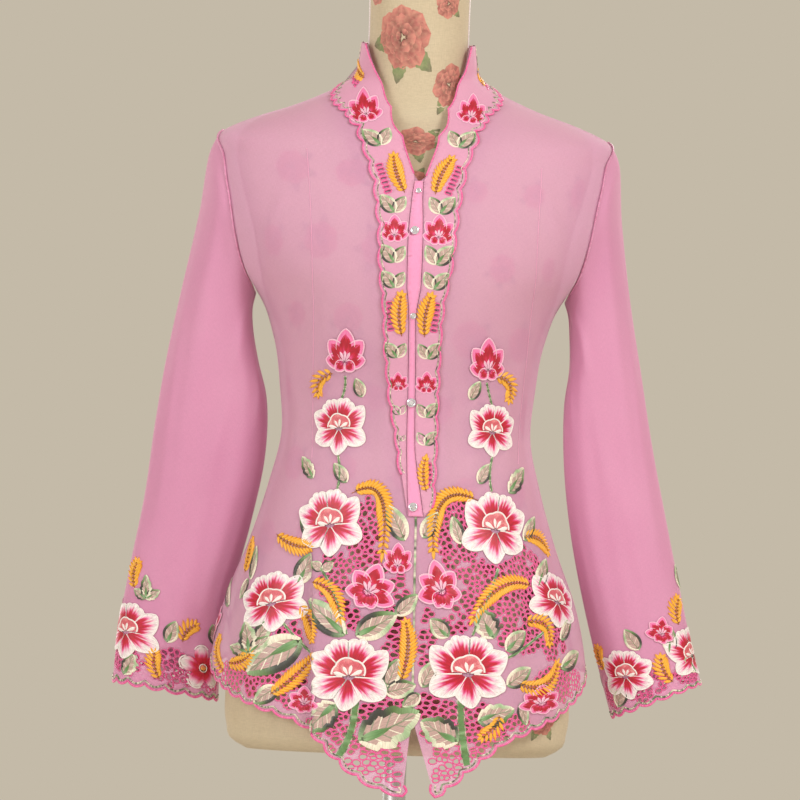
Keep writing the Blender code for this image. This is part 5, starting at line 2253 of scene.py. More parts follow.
LEAVES = {
    -1: (
        LeafRow(-44, 682, -50, 697, 4.5, LeafKind.PLAIN),
        LeafRow(-57, 597, -68, 612, 5, LeafKind.PLAIN),
        LeafRow(-90, 600, -100, 617, 5, LeafKind.SERRATED),
        LeafRow(-89.8, 538.8, -98.7, 561.0, 5, LeafKind.PLAIN),
        LeafRow(-104.7, 495.4, -93.4, 520.3, 7, LeafKind.SATIN),
        LeafRow(-148.6, 497.1, -145.1, 524.7, 4, LeafKind.PLAIN),
        LeafRow(-151.7, 497.0, -157.9, 480.4, 4, LeafKind.PLAIN),
        LeafRow(-143.4, 431.9, -128.9, 454.8, 6, LeafKind.PLAIN),
        LeafRow(-101.8, 439.4, -141.7, 410.5, 12, LeafKind.SATIN),
        LeafRow(-61.0, 377.8, -84.3, 354.2, 10, LeafKind.SERRATED),
        LeafRow(-35.4, 343.1, 12.8, 367.6, 14, LeafKind.SERRATED),
        LeafRow(-10.6, 397.4, -2.2, 420.2, 6, LeafKind.PLAIN),
        LeafRow(-11.4, 391.3, 12.9, 398.2, 6.5, LeafKind.PLAIN),
        LeafRow(-41.8, 446.5, -9.7, 464.9, 9, LeafKind.SATIN),
        LeafRow(-3.7, 468.1, 13.1, 485.0, 6, LeafKind.PLAIN),
        LeafRow(-54.1, 447.1, -87.7, 474.6, 9, LeafKind.SATIN),
        LeafRow(-78.6, 509.6, -87.0, 515.4, 4, LeafKind.PLAIN),
        LeafRow(-78.6, 509.6, -69.6, 516.0, 4, LeafKind.PLAIN),
        LeafRow(2.0, 541.8, -12.2, 569.9, 7, LeafKind.PLAIN),
        LeafRow(-170, 470, -176, 492, 5, LeafKind.PLAIN),
        LeafRow(-120, 392, -138, 378, 6, LeafKind.PLAIN),
    ),
    1: (
        LeafRow(62, 683, 70, 698, 4.5, LeafKind.PLAIN),
        LeafRow(73, 600, 82, 616, 5, LeafKind.PLAIN),
        LeafRow(104, 592, 116, 612, 6.5, LeafKind.SERRATED),
        LeafRow(58, 540, 50, 562, 5, LeafKind.PLAIN),
        LeafRow(120, 545, 129, 564, 5, LeafKind.PLAIN),
        LeafRow(134, 500, 141, 522, 6, LeafKind.SATIN),
        LeafRow(92, 448, 80, 472, 9, LeafKind.SERRATED),
        LeafRow(104, 436, 120, 452, 7, LeafKind.SATIN),
        LeafRow(48, 448, 33, 462, 6.5, LeafKind.SATIN),
        LeafRow(106, 402, 126, 416, 6.5, LeafKind.PLAIN),
        LeafRow(60, 345, 30, 361, 11, LeafKind.SERRATED),
        LeafRow(80, 366, 108, 376, 8, LeafKind.SERRATED),
        LeafRow(24, 398, 34, 420, 6, LeafKind.PLAIN),
        LeafRow(22, 390, 8, 380, 5, LeafKind.PLAIN),
        LeafRow(158, 448, 168, 466, 5, LeafKind.PLAIN),
        LeafRow(160, 420, 176, 432, 6, LeafKind.SATIN),
        LeafRow(120, 384, 126, 366, 5, LeafKind.PLAIN),
        LeafRow(20, 545, 32, 566, 6, LeafKind.PLAIN),
    ),
}

FERNS = {
    -1: (
        FernRow(-74, 704, -86, 697, -88, 684),
        FernRow(-51.5, 586, -22.8, 582.9, -19.8, 523.7),
        FernRow(-124.6, 542.8, -109, 533.1, -91.6, 531.6),
        FernRow(-155, 503, -151.8, 518.4, -149.4, 533.8),
        FernRow(-168.4, 413.7, -156.2, 415.1, -145.2, 423.7),
        FernRow(-104, 474, -93.2, 458, -88.6, 439.8),
        FernRow(-126.6, 384.5, -108.7, 400.4, -88, 423.5),
        FernRow(2.5, 402, 8.7, 432.8, 5.7, 461.3),
        FernRow(-89.4, 497, -68.7, 487.4, -58.6, 461.2),
        FernRow(-172, 404, -180, 420, -178, 436),
    ),
    1: (
        FernRow(86, 706, 99, 700, 100, 684),
        FernRow(73, 583, 38, 580, 31, 528),
        FernRow(120, 548, 134, 546, 144, 534),
        FernRow(128, 499, 98, 498, 71, 464),
        FernRow(122, 464, 140, 462, 146, 444),
        FernRow(116, 404, 142, 402, 156, 424),
        FernRow(100, 372, 96, 360, 84, 350),
    ),
}

STEMS = {
    -1: (
        StemRow(-41.9, 386.2, -38.8, 353.6, -56.3, 326.5, 3.4, 3.9),
        StemRow(-79.7, 511.6, -60.4, 483.6, -52, 447.1, 1.0, 1.3),
        StemRow(-122, 463.2, -108, 441.2, -91.2, 427.5, 1.0, 1.2),
        StemRow(-67, 628, -62, 605, -66, 590, 0.9, 1.1),
        StemRow(-62, 702, -60, 690, -65, 678, 0.8, 0.8),
    ),
    1: (
        StemRow(62, 386, 62, 356, 70, 322, 3.4, 3.9),
        StemRow(95, 516, 84, 480, 72, 450, 1.0, 1.3),
        StemRow(146, 462, 128, 440, 104, 428, 1.0, 1.2),
        StemRow(86, 626, 82, 606, 87, 592, 0.9, 1.1),
        StemRow(78, 700, 80, 690, 84, 678, 0.8, 0.8),
    ),
}


class BandKind(Enum):
    """What comes along the lapel bands."""

    FERN = "fern"
    LEAF = "leaf"
    LOTUS = "lotus"


class BandRow(NamedTuple):
    """One motif along a lapel band: what it is, its height and its length."""

    kind: BandKind
    height: float
    length: float


BAND_MARGIN = 8.0
LADDER_PITCH = 5.0
BAND = (
    BandRow(BandKind.FERN, 1003, 32),
    BandRow(BandKind.LOTUS, 968, 40),
    BandRow(BandKind.LEAF, 938, 24),
    BandRow(BandKind.FERN, 900, 42),
    BandRow(BandKind.LEAF, 872, 22),
    BandRow(BandKind.LOTUS, 849, 34),
    BandRow(BandKind.LEAF, 823, 24),
    BandRow(BandKind.LEAF, 798, 24),
    BandRow(BandKind.FERN, 763, 40),
    BandRow(BandKind.LEAF, 729, 24),
    BandRow(BandKind.LOTUS, 699, 34),
    BandRow(BandKind.LEAF, 670, 22),
    BandRow(BandKind.LEAF, 642, 22),
    BandRow(BandKind.FERN, 606, 32),
)


@lru_cache(maxsize=None)
def bloom_drawing(kind: Kind) -> tuple[Drawing, float, float]:
    """A flower's drawing with its width and height.

    Args:
        kind: The kind of flower.

    Returns:
        The drawing, its width and its height.
    """
    if kind is Kind.PEONY:
        drawing = peony()
    elif kind is Kind.LOTUS:
        drawing = lotus(OPEN_LOTUS, (75, 110, 140, 40))
    elif kind is Kind.FAN:
        drawing = lotus(FAN_LOTUS, (62, 90, 118), FAN_DROP)
    elif kind is Kind.SMALL:
        drawing = small_bloom(6, 24.0, heart=False)
    elif kind is Kind.FIVE:
        drawing = small_bloom(5, 40.0, heart=True)
    else:
        drawing = maple()
    points = drawing.merged()[0]
    span = points.max(axis=0) - points.min(axis=0)
    return drawing, float(span[0]), float(span[1])


def maple() -> Drawing:
    """A leaf of three toothed fingers."""
    drawing = Drawing(47)
    for angle, length, wide in ((148, 21, 5.4), (34, 21, 5.4), (90, 30, 6.4)):
        part = leaf(LeafKind.SERRATED, wide / length * LEAF_SIZE, 5)
        points, cells, colours, stitches = part.merged()
        scale = length / LEAF_SIZE
        turn = math.radians(angle - 90)
        x, y = points[:, 0] * scale, points[:, 1] * scale
        flat = np.stack([x * math.cos(turn) - y * math.sin(turn), x * math.sin(turn) + y * math.cos(turn)], axis=1)
        drawing.add(flat, points[:, 2] + 0.05 * (angle == 90), colours, stitches, cells)
    return drawing


@lru_cache(maxsize=None)
def leaf_drawing(kind: LeafKind, share: float) -> Drawing:
    """A leaf whose half width is this share of its length."""
    return leaf(kind, share * LEAF_SIZE, 3 + int(share * 100))


@dataclass
class FlowerBorder:
    """The flowers, leaves, fronds and stems sewn over one front."""

    side: int
    surface: Surface = field(default_factory=lambda: BODY)

    def sew(self, sewing: Sewing) -> None:
        """Adds everything to the front's sewing.

        Args:
            sewing: The front's sewing.
        """
        for row in STEMS[self.side]:
            self.sew_stem(sewing, row)
        for row in LEAVES[self.side]:
            self.sew_leaf(sewing, row)
        for number, row in enumerate(FERNS[self.side]):
            points = [
                spot(row.start_across, row.start_height),
                spot(row.pull_across, row.pull_height),
                spot(row.end_across, row.end_height),
            ]
            start = points[0]
            pulled = tuple(pull * 2 - (first + last) / 2 for first, pull, last in zip(*points))
            local = [(p[0] - start[0], p[1] - start[1]) for p in (points[0], pulled, points[2])]
            sewing.lay(fern(local, 60 + number), start)
        for row in BLOOMS[self.side]:
            drawing, wide, tall = bloom_drawing(row.kind)
            size = row.tall / tall
            edge = abs(row.across) / 176
            squeeze = (row.wide / wide / size) / math.sqrt(max(1 - edge * edge, 0.3))
            sewing.lay(drawing, spot(row.across, row.height), size, row.turn, self.side > 0, BLOOM_LIFT, squeeze)

    def sew_stem(self, sewing: Sewing, row: StemRow) -> None:
        """Adds a tapering ribbed stem."""
        ends = [
            spot(row.start_across, row.start_height),
            spot(row.pull_across, row.pull_height),
            spot(row.end_across, row.end_height),
        ]
        path = bezier(ends, 26)
        drawing = Drawing(71)
        half = np.linspace(row.start_half, row.end_half, len(path))
        drawing.ribbon(path - path[0], half, repeated(STEM_STOPS, 6), base=0.32, height=0.75, columns=6, speckle=0.05)
        for sign in (-1, 1):
            rim = shifted(path - path[0], sign * row.start_half)
            drawing.ribbon(rim, 0.5, repeated(VARIED_STOPS, 4), base=0.4, height=0.8, columns=2)
        sewing.lay(drawing, (float(path[0][0]), float(path[0][1])))

    def sew_leaf(self, sewing: Sewing, row: LeafRow) -> None:
        """Adds one leaf between its two seen ends."""
        base, tip = spot(row.base_across, row.base_height), spot(row.tip_across, row.tip_height)
        ahead = (tip[0] - base[0], tip[1] - base[1])
        length = math.hypot(*ahead)
        share = round(row.half_width / length, 2)
        turn = math.degrees(math.atan2(ahead[1], ahead[0])) - 90
        size = LEAF_GROW * length / LEAF_SIZE
        sewing.lay(leaf_drawing(row.kind, share), base, size, turn, self.side > 0, LEAF_LIFT)


def sew_gap_rims(sewing: Sewing, rims: Sequence[Array], half: float = 0.68, lift: float = 0.0) -> None:
    """Wraps the edge of each cutwork gap in satin stitches.

    Args:
        sewing: The sewing to add to.
        rims: Each gap's closed line, in lengths along the surface.
        half: The stitches' half width.
        lift: How high the cloth lies.
    """
    for rim in rims:
        middle = rim.mean(axis=0)
        closed = np.vstack([rim, rim[:2]]) - middle
        drawing = Drawing(5)
        drawing.ribbon(closed, half, BAR_STOPS, base=0.2, height=0.6, columns=3)
        sewing.lay(drawing, (float(middle[0]), float(middle[1])), lift=lift)


# The pieces of the blouse.


@dataclass(frozen=True)
class Finishes:
    """The materials of the blouse and its stand."""

    voile: bpy.types.Material
    sleeve: bpy.types.Material
    band: bpy.types.Material
    strip: bpy.types.Material
    floss: bpy.types.Material
    linen: bpy.types.Material
    print: bpy.types.Material
    steel: bpy.types.Material
    crystal: bpy.types.Material


def armhole_line(side: int, back: bool) -> Line:
    """The armhole's front or back half on the body, from the underarm up."""
    line = []
    for row in ARMHOLE:
        u = math.radians(row.angle) * REACH - SEAM_HALF_GAP * (row.angle > 89.9)
        line.append((side * (2 * SIDE_U - u if back else u), float(row.level)))
    return line


def split_line(side: int) -> Line:
    """The edge where the two fronts meet, down to the parting above the hem."""
    rows = [Seen((r.right_edge + r.left_edge) / 2, r.height) for r in STRIP] + list(SPLIT)
    return BODY.seen_line([Seen(row.across + side * SPLIT_HALF_GAP, row.height) for row in rows])


def strip_edge(side: int) -> Line:
    """The line beside the strip where a lapel's inner edge lies."""
    rows = []
    for row in STRIP:
        edge = row.left_edge if side > 0 else row.right_edge
        rows.append(Seen(edge + side * STRIP_SIDE_GAP, row.height))
    return BODY.seen_line(rows)


def pocket_test(side: int) -> Callable[[Array], Array]:
    """A test for which points of the body's pattern lie in a pocket and under no flower or leaf."""

    def oval(points: Array, across: float, height: float, half: float, tall: float) -> Array:
        """For each point, whether the oval holds it."""
        return ((points[:, 0] - across) / half) ** 2 + ((points[:, 2] - height) / tall) ** 2 < 1

    def test(places: Array) -> Array:
        """For each point, whether it may be cut out."""
        points = BODY.flat(places[:, 0], places[:, 1])
        held = np.zeros(len(places), bool)
        for p in POCKETS[side]:
            held |= oval(points, p.across, p.height, p.half_across * POCKET_GROW, p.half_height * POCKET_GROW)
        for bloom in BLOOMS.get(side, ()):
            held &= ~oval(points, bloom.across, bloom.height, bloom.wide * 0.45, bloom.tall * 0.45)
        for row in LEAVES.get(side, ()):
            middle = ((row.base_across + row.tip_across) / 2, (row.base_height + row.tip_height) / 2)
            held &= ~oval(points, *middle, row.half_width, row.half_width)
        return held

    return test


@dataclass
class Front:
    """One front: its cloth with the cutwork, its lapel band and all that is sewn on them."""

    side: int
    cut: Cut
    band_cut: Cut
    step: float = 4.0
    cutwork: Cutwork = field(default_factory=Cutwork)
    princess: tuple[Seen, ...] = ()

    @property
    def word(self) -> str:
        """The wearer's side."""
        return "left" if self.side > 0 else "right"

    def lines(self) -> dict[str, Line]:
        """The named lines of the pattern."""
        neckline = BODY.seen_line(NECKLINE[self.side])
        neck_top = (self.side * math.radians(NECKLINE_TOP_ANGLE) * REACH, COLLAR_TOP)
        collar = [(self.side * math.radians(angle) * REACH, level) for angle, level in LAPEL_COLLAR]
        outer = scalloped(collar[-1:] + BODY.seen_line(LAPEL[self.side]), LAPEL_SCALLOP, side=self.side)
        hem_side = (self.side * (SIDE_U - SEAM_HALF_GAP), HEM_SIDE)
        return {
            "split": resample(split_line(self.side), self.step),
            "neckline": resample(neckline + [neck_top], self.step),
            "lapel": resample(collar[:-1], self.step) + resample(outer, self.step),
            "hem": scalloped(BODY.seen_line(HEM[self.side]) + [hem_side], HEM_SCALLOP, side=-self.side),
            "strip": resample(strip_edge(self.side), self.step),
        }

    def outline(self, lines: dict[str, Line]) -> Line:
        """The cloth's edge: down the split, along the hem, up the side, round the armhole, over the
        shoulder and the collar, and back down the neckline."""
        edge_u = self.side * (SIDE_U - SEAM_HALF_GAP)
        side_seam = resample([(edge_u, HEM_SIDE), (edge_u, UNDERARM)], self.step)[1:-1]
        armhole = resample(armhole_line(self.side, back=False), self.step)
        shoulder = resample([(edge_u, SHOULDER_TIP), (edge_u, COLLAR_TOP)], self.step)[1:]
        collar_top = resample([(edge_u, COLLAR_TOP), lines["neckline"][-1]], self.step)[1:-1]
        upper = [*side_seam, *armhole, *shoulder, *collar_top, *reversed(lines["neckline"])]
        return [*lines["split"], *lines["hem"], *upper]

    def deep_fold(self) -> list[Line]:
        """The edges of the deep fold, which only the right front has."""
        if self.side > 0:
            return []
        lines = []
        for shift in (0.0, -DEEP_FOLD_STEP):
            top = Seen(DEEP_FOLD_TOP.across + shift, DEEP_FOLD_TOP.height)
            low = Seen(DEEP_FOLD_LOW.across + shift, DEEP_FOLD_CUT)
            lines.append(resample(BODY.seen_line([top, low]), self.step))
        return lines

    def build(self, finishes: Finishes) -> None:
        """Makes the front, its band and their sewing.

        Args:
            finishes: The materials.
        """
        lines = self.lines()
        outline = self.outline(lines)
        low, high = np.min(outline, axis=0), np.max(outline, axis=0)
        high[1] = 600.0
        test = pocket_test(self.side)
        folds = self.deep_fold()
        edges = [outline + outline[:1], *folds]
        gaps = self.cutwork.cells(test, low, high, edges, 17 + self.side)
        pattern = Pattern(outline, folds, gaps, self.step)
        cloth = Cloth(f"front_{self.word}_voile", pattern, BODY, 1.0)
        piece = cloth.made(finishes.voile, "cotton_voile", (f"front_{self.word}",))
        sewing = Sewing(f"front_{self.word}_flowers", BODY)
        sew_gap_rims(sewing, [chart_line(gap) for gap in gaps])
        FlowerBorder(self.side).sew(sewing)
        self.sew_edges(sewing, lines)
        sewn = sewing.made(finishes.floss, "embroidered_band")
        LOG.info("%s: %d gaps, %.4f square metres", piece.name, len(gaps), cloth.area)
        self.build_band(finishes, lines)

    def sew_edges(self, sewing: Sewing, lines: dict[str, Line]) -> None:
        """Adds the cords along the hem and the split, and the welts over the seams.

        Args:
            sewing: The front's sewing.
            lines: The pattern's lines.
        """
        hem = np.array(resample(lines["hem"], 2.2))
        sewing.rope(BODY.place(hem[:, 0], hem[:, 1]), 1.25, repeated(EDGE_STOPS, 12))
        inner = shifted(hem, 3.4 * self.side)
        sewing.rope(BODY.place(inner[:, 0], inner[:, 1], 0.45), 0.75, repeated(VARIED_STOPS, 9))
        split = np.array([p for p in lines["split"] if p[1] < 572.0])
        sewing.rope(BODY.place(split[:, 0], split[:, 1], 0.1), 0.8, repeated(VARIED_STOPS, 7))
        edge_u = self.side * (SIDE_U - SEAM_HALF_GAP)
        seams = [np.array([(edge_u, level) for level in np.arange(HEM_SIDE, UNDERARM, 5.0)])]
        seams.append(np.array([(edge_u, level) for level in np.arange(SHOULDER_TIP, NECK_BASE - 4, 4.0)]))
        for seam in seams:
            self.sew_welt(sewing, seam, 0.8)
        table = sorted((row.height, row.across) for row in self.princess)
        heights = np.arange(table[0][0], table[-1][0], 6.0)
        across = Track(table).at(heights)[:, 0]
        self.sew_welt(sewing, np.array(BODY.seen_line([Seen(x, z) for x, z in zip(across, heights)])), 0.4)

    def sew_welt(self, sewing: Sewing, seam: Array, half: float) -> None:
        """Adds a flat welt with the light line of a turned seam."""
        chart = eased(chart_line([tuple(p) for p in seam]))
        drawing = Drawing(9)
        drawing.ribbon(chart - chart[0], half, WELT_STOPS, base=0.22, height=0.28, columns=4)
        sewing.lay(drawing, (float(chart[0][0]), float(chart[0][1])))

    def build_band(self, finishes: Finishes, lines: dict[str, Line]) -> None:
        """Makes the lapel band with its sewing.

        Args:
            finishes: The materials.
            lines: The pattern's lines.
        """
        outline = [*lines["lapel"], *reversed(lines["strip"]), *lines["neckline"]]
        outline += resample([lines["neckline"][-1], lines["lapel"][0]], self.step)[1:-1]
        sewing = Sewing(f"lapel_{self.word}_flowers", BODY)
        gaps: list[Line] = []
        for row in BAND:
            gaps += self.band_gaps(row)
        pattern = Pattern(outline, (), gaps, 3.0)
        cloth = Cloth(f"lapel_{self.word}_band", pattern, BODY, 1.0, LAYER_RISE)
        piece = cloth.made(finishes.band, "embroidered_band", (f"lapel_{self.word}",))
        sew_gap_rims(sewing, [chart_line(gap) for gap in gaps], lift=LAYER_RISE)
        for number, row in enumerate(BAND):
            self.sew_band_row(sewing, row, number)
        outer = np.array(resample(lines["lapel"], 2.2))
        sewing.rope(BODY.place(outer[:, 0], outer[:, 1], LAYER_RISE), 0.95, repeated(EDGE_STOPS, 14))
        near = shifted(outer, 2.6 * -self.side)
        sewing.rope(BODY.place(near[:, 0], near[:, 1], LAYER_RISE + 0.4), 0.5, repeated(VARIED_STOPS, 12))
        inner = np.array(resample(lines["neckline"], 3.0))
        sewing.rope(BODY.place(inner[:, 0], inner[:, 1], LAYER_RISE), 0.85, repeated(EDGE_STOPS, 8))
        sewn = sewing.made(finishes.floss, "embroidered_band")

    def band_middle(self, height: float) -> tuple[float, float, float, float]:
        """Where the band's embroidered middle is at this height, how it leans and how wide it is.

        Args:
            height: The height, as it is seen.

        Returns:
            The length round the body, the level, the lean in degrees and the width.
        """
        strip = [(r.height, r.left_edge if self.side > 0 else r.right_edge) for r in STRIP]
        inner = sorted(strip + [(s.height, s.across) for s in NECKLINE[self.side]])
        outer = sorted((s.height, s.across) for s in LAPEL[self.side])

        def at(z: float) -> tuple[float, float, float]:
            """The middle at a height, and the width there."""
            margin = float(np.interp(z, [890, 915], [1.0, BAND_MARGIN]))
            near = float(np.interp(z, [h for h, _ in inner], [x for _, x in inner])) + self.side * margin
            far = float(np.interp(z, [h for h, _ in outer], [x for _, x in outer]))
            wide = max(self.side * (far - near), 0.0)
            return (*spot(near + self.side * min(wide / 2, 19.0), z), min(wide, 38.0))

        here, above, below = at(height), at(height + 6), at(height - 6)
        lean = math.degrees(math.atan2(above[1] - below[1], above[0] - below[0])) - 90
        return (here[0], here[1], lean, here[2])

    def band_gaps(self, row: BandRow) -> list[Line]:
        """The ladder of gaps beside a frond of the band."""
        arc, level, lean, wide = self.band_middle(row.height)
        if row.kind is not BandKind.FERN or wide < 14:
            return []
        turn = math.radians(lean)
        count = round(row.length * 0.8 / LADDER_PITCH)
        gaps = []
        for y in (np.arange(count) - (count - 1) / 2) * LADDER_PITCH:
            ring = []
            for angle in np.linspace(0, 2 * math.pi, 12, endpoint=False):
                c, s = math.cos(angle), math.sin(angle)
                dx = self.side * wide * 0.26 + min(wide * 0.13, 3.6) * math.copysign(abs(c) ** 0.6, c)
                dy = y + 0.36 * LADDER_PITCH * math.copysign(abs(s) ** 0.6, s)
                at_arc = arc + dx * math.cos(turn) - dy * math.sin(turn)
                at_level = level + dx * math.sin(turn) + dy * math.cos(turn)
                u = float(BODY.from_arc(np.array([at_arc]), np.array([at_level]))[0])
                ring.append((u, at_level))
            gaps.append(ring)
        return gaps

    def sew_band_row(self, sewing: Sewing, row: BandRow, number: int) -> None:
        """Adds one motif of the band, no wider than the band is there.

        Args:
            sewing: The band's sewing.
            row: The motif.
            number: Its place along the band.
        """
        arc, level, lean, wide = self.band_middle(row.height)
        middle, mirrored = (arc, level), self.side > 0
        if wide < 7:
            return
        if row.kind is BandKind.LOTUS:
            drawing, span, tall = bloom_drawing(Kind.FAN)
            size = min(row.length / tall, (wide + 2) / span)
            sewing.lay(drawing, middle, size, lean, mirrored, LAYER_RISE)
        elif row.kind is BandKind.LEAF:
            length = min(row.length, wide * 0.86)
            for tilt, size in ((38, 1.0), (-34, 0.86)):
                drawing = leaf_drawing(LeafKind.SATIN if tilt > 0 else LeafKind.PLAIN, 0.3)
                start = ray(lean - 90, length * 0.35, middle)
                way = -tilt if mirrored else tilt
                sewing.lay(drawing, start, length / LEAF_SIZE * size, lean + way, mirrored, LAYER_RISE)
        else:
            half = row.length / 2
            near = self.side * wide * (0.14 if wide >= 14 else 0.0)
            points = [(1.5 - near, -half), (-3.0 - near, 0.0), (2.5 - near, half)]
            drawing = fern(points, 90 + number, min(13.0, wide * 0.58))
            sewing.lay(drawing, middle, 1.0, lean, False, LAYER_RISE)


@dataclass
class Back:
    """The back with its hem's cutwork, and the band behind the neck."""

    cut: Cut
    band_cut: Cut
    step: float = 4.5
    cutwork: Cutwork = field(default_factory=Cutwork)
    princess: tuple[Seen, ...] = (Seen(112, 905), Seen(84, 820), Seen(62, 700), Seen(66, 600), Seen(78, 480))

    def build(self, finishes: Finishes) -> None:
        """Makes the back and its sewing.

        Args:
            finishes: The materials.
        """
        edge_u = SIDE_U + SEAM_HALF_GAP
        far_u = 4 * SIDE_U - edge_u
        side_seam = resample([(edge_u, HEM_SIDE), (edge_u, UNDERARM)], self.step)[1:-1]
        armhole = resample(armhole_line(1, back=True), self.step)
        shoulder = resample([(edge_u, SHOULDER_TIP), (edge_u, NECK_BASE)], self.step)[1:]
        left = [*side_seam, *armhole, *shoulder]
        right = [(4 * SIDE_U - u, level) for u, level in reversed(left)]
        neck = resample([left[-1], right[0]], self.step)[1:-1]
        hem = scalloped([(far_u, HEM_SIDE), (edge_u, HEM_SIDE)], HEM_SCALLOP, side=1)
        outline = [*left, *neck, *right, *hem]
        low, high = np.min(outline, axis=0), np.max(outline, axis=0)
        high[1] = 505.0
        gaps = self.cutwork.cells(pocket_test(0), low, high, [outline + outline[:1]], 41)
        pattern = Pattern(outline, (), gaps, self.step)
        cloth = Cloth("back_voile", pattern, BODY, 1.0)
        piece = cloth.made(finishes.voile, "cotton_voile", ("back",))
        sewing = Sewing("back_flowers", BODY)
        sew_gap_rims(sewing, [chart_line(gap) for gap in gaps])
        self.sew_border(sewing)
        line = np.array(resample(hem, 2.2))
        sewing.rope(BODY.place(line[:, 0], line[:, 1]), 1.25, repeated(EDGE_STOPS, 20))
        inner = shifted(line, -3.4)
        sewing.rope(BODY.place(inner[:, 0], inner[:, 1], 0.45), 0.75, repeated(VARIED_STOPS, 16))
        self.sew_seams(sewing)
        sewn = sewing.made(finishes.floss, "embroidered_band")
        self.build_neck_band(finishes, edge_u, far_u)

    def behind(self, across: float, height: float) -> tuple[float, float]:
        """The length round the body and the level of a back point, given as it is seen from behind."""
        front_u, level = BODY.seen(np.array([across]), np.array([height]))
        u = 2 * SIDE_U - float(front_u[0])
        return (BODY.arc(u, float(level[0])), float(level[0]))

    def sew_border(self, sewing: Sewing) -> None:
        """Adds flowers, leaves and fronds between the back's pockets."""
        for across, height, size, kind in (
            (-82, 446, 52, Kind.PEONY),
            (2, 452, 56, Kind.PEONY),
            (84, 446, 52, Kind.PEONY),
            (-140, 484, 30, Kind.LOTUS),
            (-40, 500, 34, Kind.LOTUS),
            (44, 500, 34, Kind.LOTUS),
            (140, 484, 30, Kind.LOTUS),
            (-164, 446, 34, Kind.PEONY),
            (164, 446, 34, Kind.PEONY),
        ):
            drawing, _, tall = bloom_drawing(kind)
            sewing.lay(drawing, self.behind(across, height), size / tall, 6.0 * math.sin(across), across > 0)
        for number, (across, height, turn) in enumerate(
            (
                (-112, 484, 30),
                (-62, 486, -34),
                (-20, 488, 40),
                (24, 488, -40),
                (64, 486, 34),
                (112, 484, -30),
                (-150, 510, 20),
                (150, 510, -20),
                (0, 520, 0),
            )
        ):
            kind = (LeafKind.SATIN, LeafKind.SERRATED, LeafKind.PLAIN)[number % 3]
            sewing.lay(leaf_drawing(kind, 0.3), self.behind(across, height), 1.15, turn, number % 2 > 0)
        for across, height, way in ((-98, 522, 1), (98, 522, -1), (-18, 540, 1), (20, 540, -1)):
            points = [(0.0, -16.0), (-6.0 * way, 0.0), (3.0 * way, 16.0)]
            sewing.lay(fern(points, 130), self.behind(across, height), 1.0, 16.0 * way)

    def sew_seams(self, sewing: Sewing) -> None:
        """Adds the welts over the back's shaping seams."""
        for sign in (-1, 1):
            line = resample([(row.across * sign, row.height) for row in self.princess], 5.0)
            chart = eased(np.array([self.behind(x, z) for x, z in line]))
            drawing = Drawing(9)
            drawing.ribbon(chart - chart[0], 0.45, WELT_STOPS, base=0.22, height=0.28, columns=4)
            sewing.lay(drawing, (float(chart[0][0]), float(chart[0][1])))

    def build_neck_band(self, finishes: Finishes, edge_u: float, far_u: float) -> None:
        """Makes the band behind the neck, with leaves and fronds along it.

        Args:
            finishes: The materials.
            edge_u: The first coordinate of its left end.
            far_u: The first coordinate of its right end.
        """
        low = NECK_BASE + 2 * SEAM_HALF_GAP
        lower = resample([(edge_u, low), (far_u, low)], 4.0)
        upper = [(u, COLLAR_TOP) for u, _ in reversed(lower)]
        pattern = Pattern([*lower, *upper], (), (), 4.0)
        cloth = Cloth("collar_back_band", pattern, BODY, 1.0)
        piece = cloth.made(finishes.band, "embroidered_band", ("collar_back",))
        sewing = Sewing("collar_back_flowers", BODY)
        cords = ((COLLAR_TOP, 0.95, EDGE_STOPS), (COLLAR_TOP - 3.2, 0.5, VARIED_STOPS), (low, 0.8, EDGE_STOPS))
        for level, radius, stops in cords:
            u = np.linspace(edge_u, far_u, 110)
            path = BODY.place(u, np.full(len(u), level), 0.3)
            sewing.rope(path, radius, repeated(stops, 8))
        middle = (low + COLLAR_TOP) / 2
        first, last = BODY.arc(edge_u, middle), BODY.arc(far_u, middle)
        count = 7
        for number in range(count):
            arc = first + (last - first) * (number + 0.5) / count
            if number % 2:
                sewing.lay(leaf_drawing(LeafKind.SATIN, 0.27), (arc - 6, middle - 6), 0.95, -52)
                sewing.lay(leaf_drawing(LeafKind.PLAIN, 0.27), (arc + 6, middle - 7), 0.85, 48, True)
            else:
                drawing, _, tall = bloom_drawing(Kind.LOTUS)
                sewing.lay(drawing, (arc, middle), 25 / tall, 8.0 * (number - 3))
        sewn = sewing.made(finishes.floss, "embroidered_band")


class CuffBloom(NamedTuple):
    """A flower near the cuff: its place round and down the sleeve, its size and its turn."""

    kind: Kind
    around: float
    down: float
    size: float
    turn: float


class CuffLeaf(NamedTuple):
    """A leaf or frond near the cuff: its place round and down the sleeve, its length and its turn."""

    around: float
    down: float
    length: float
    turn: float
    kind: LeafKind | None


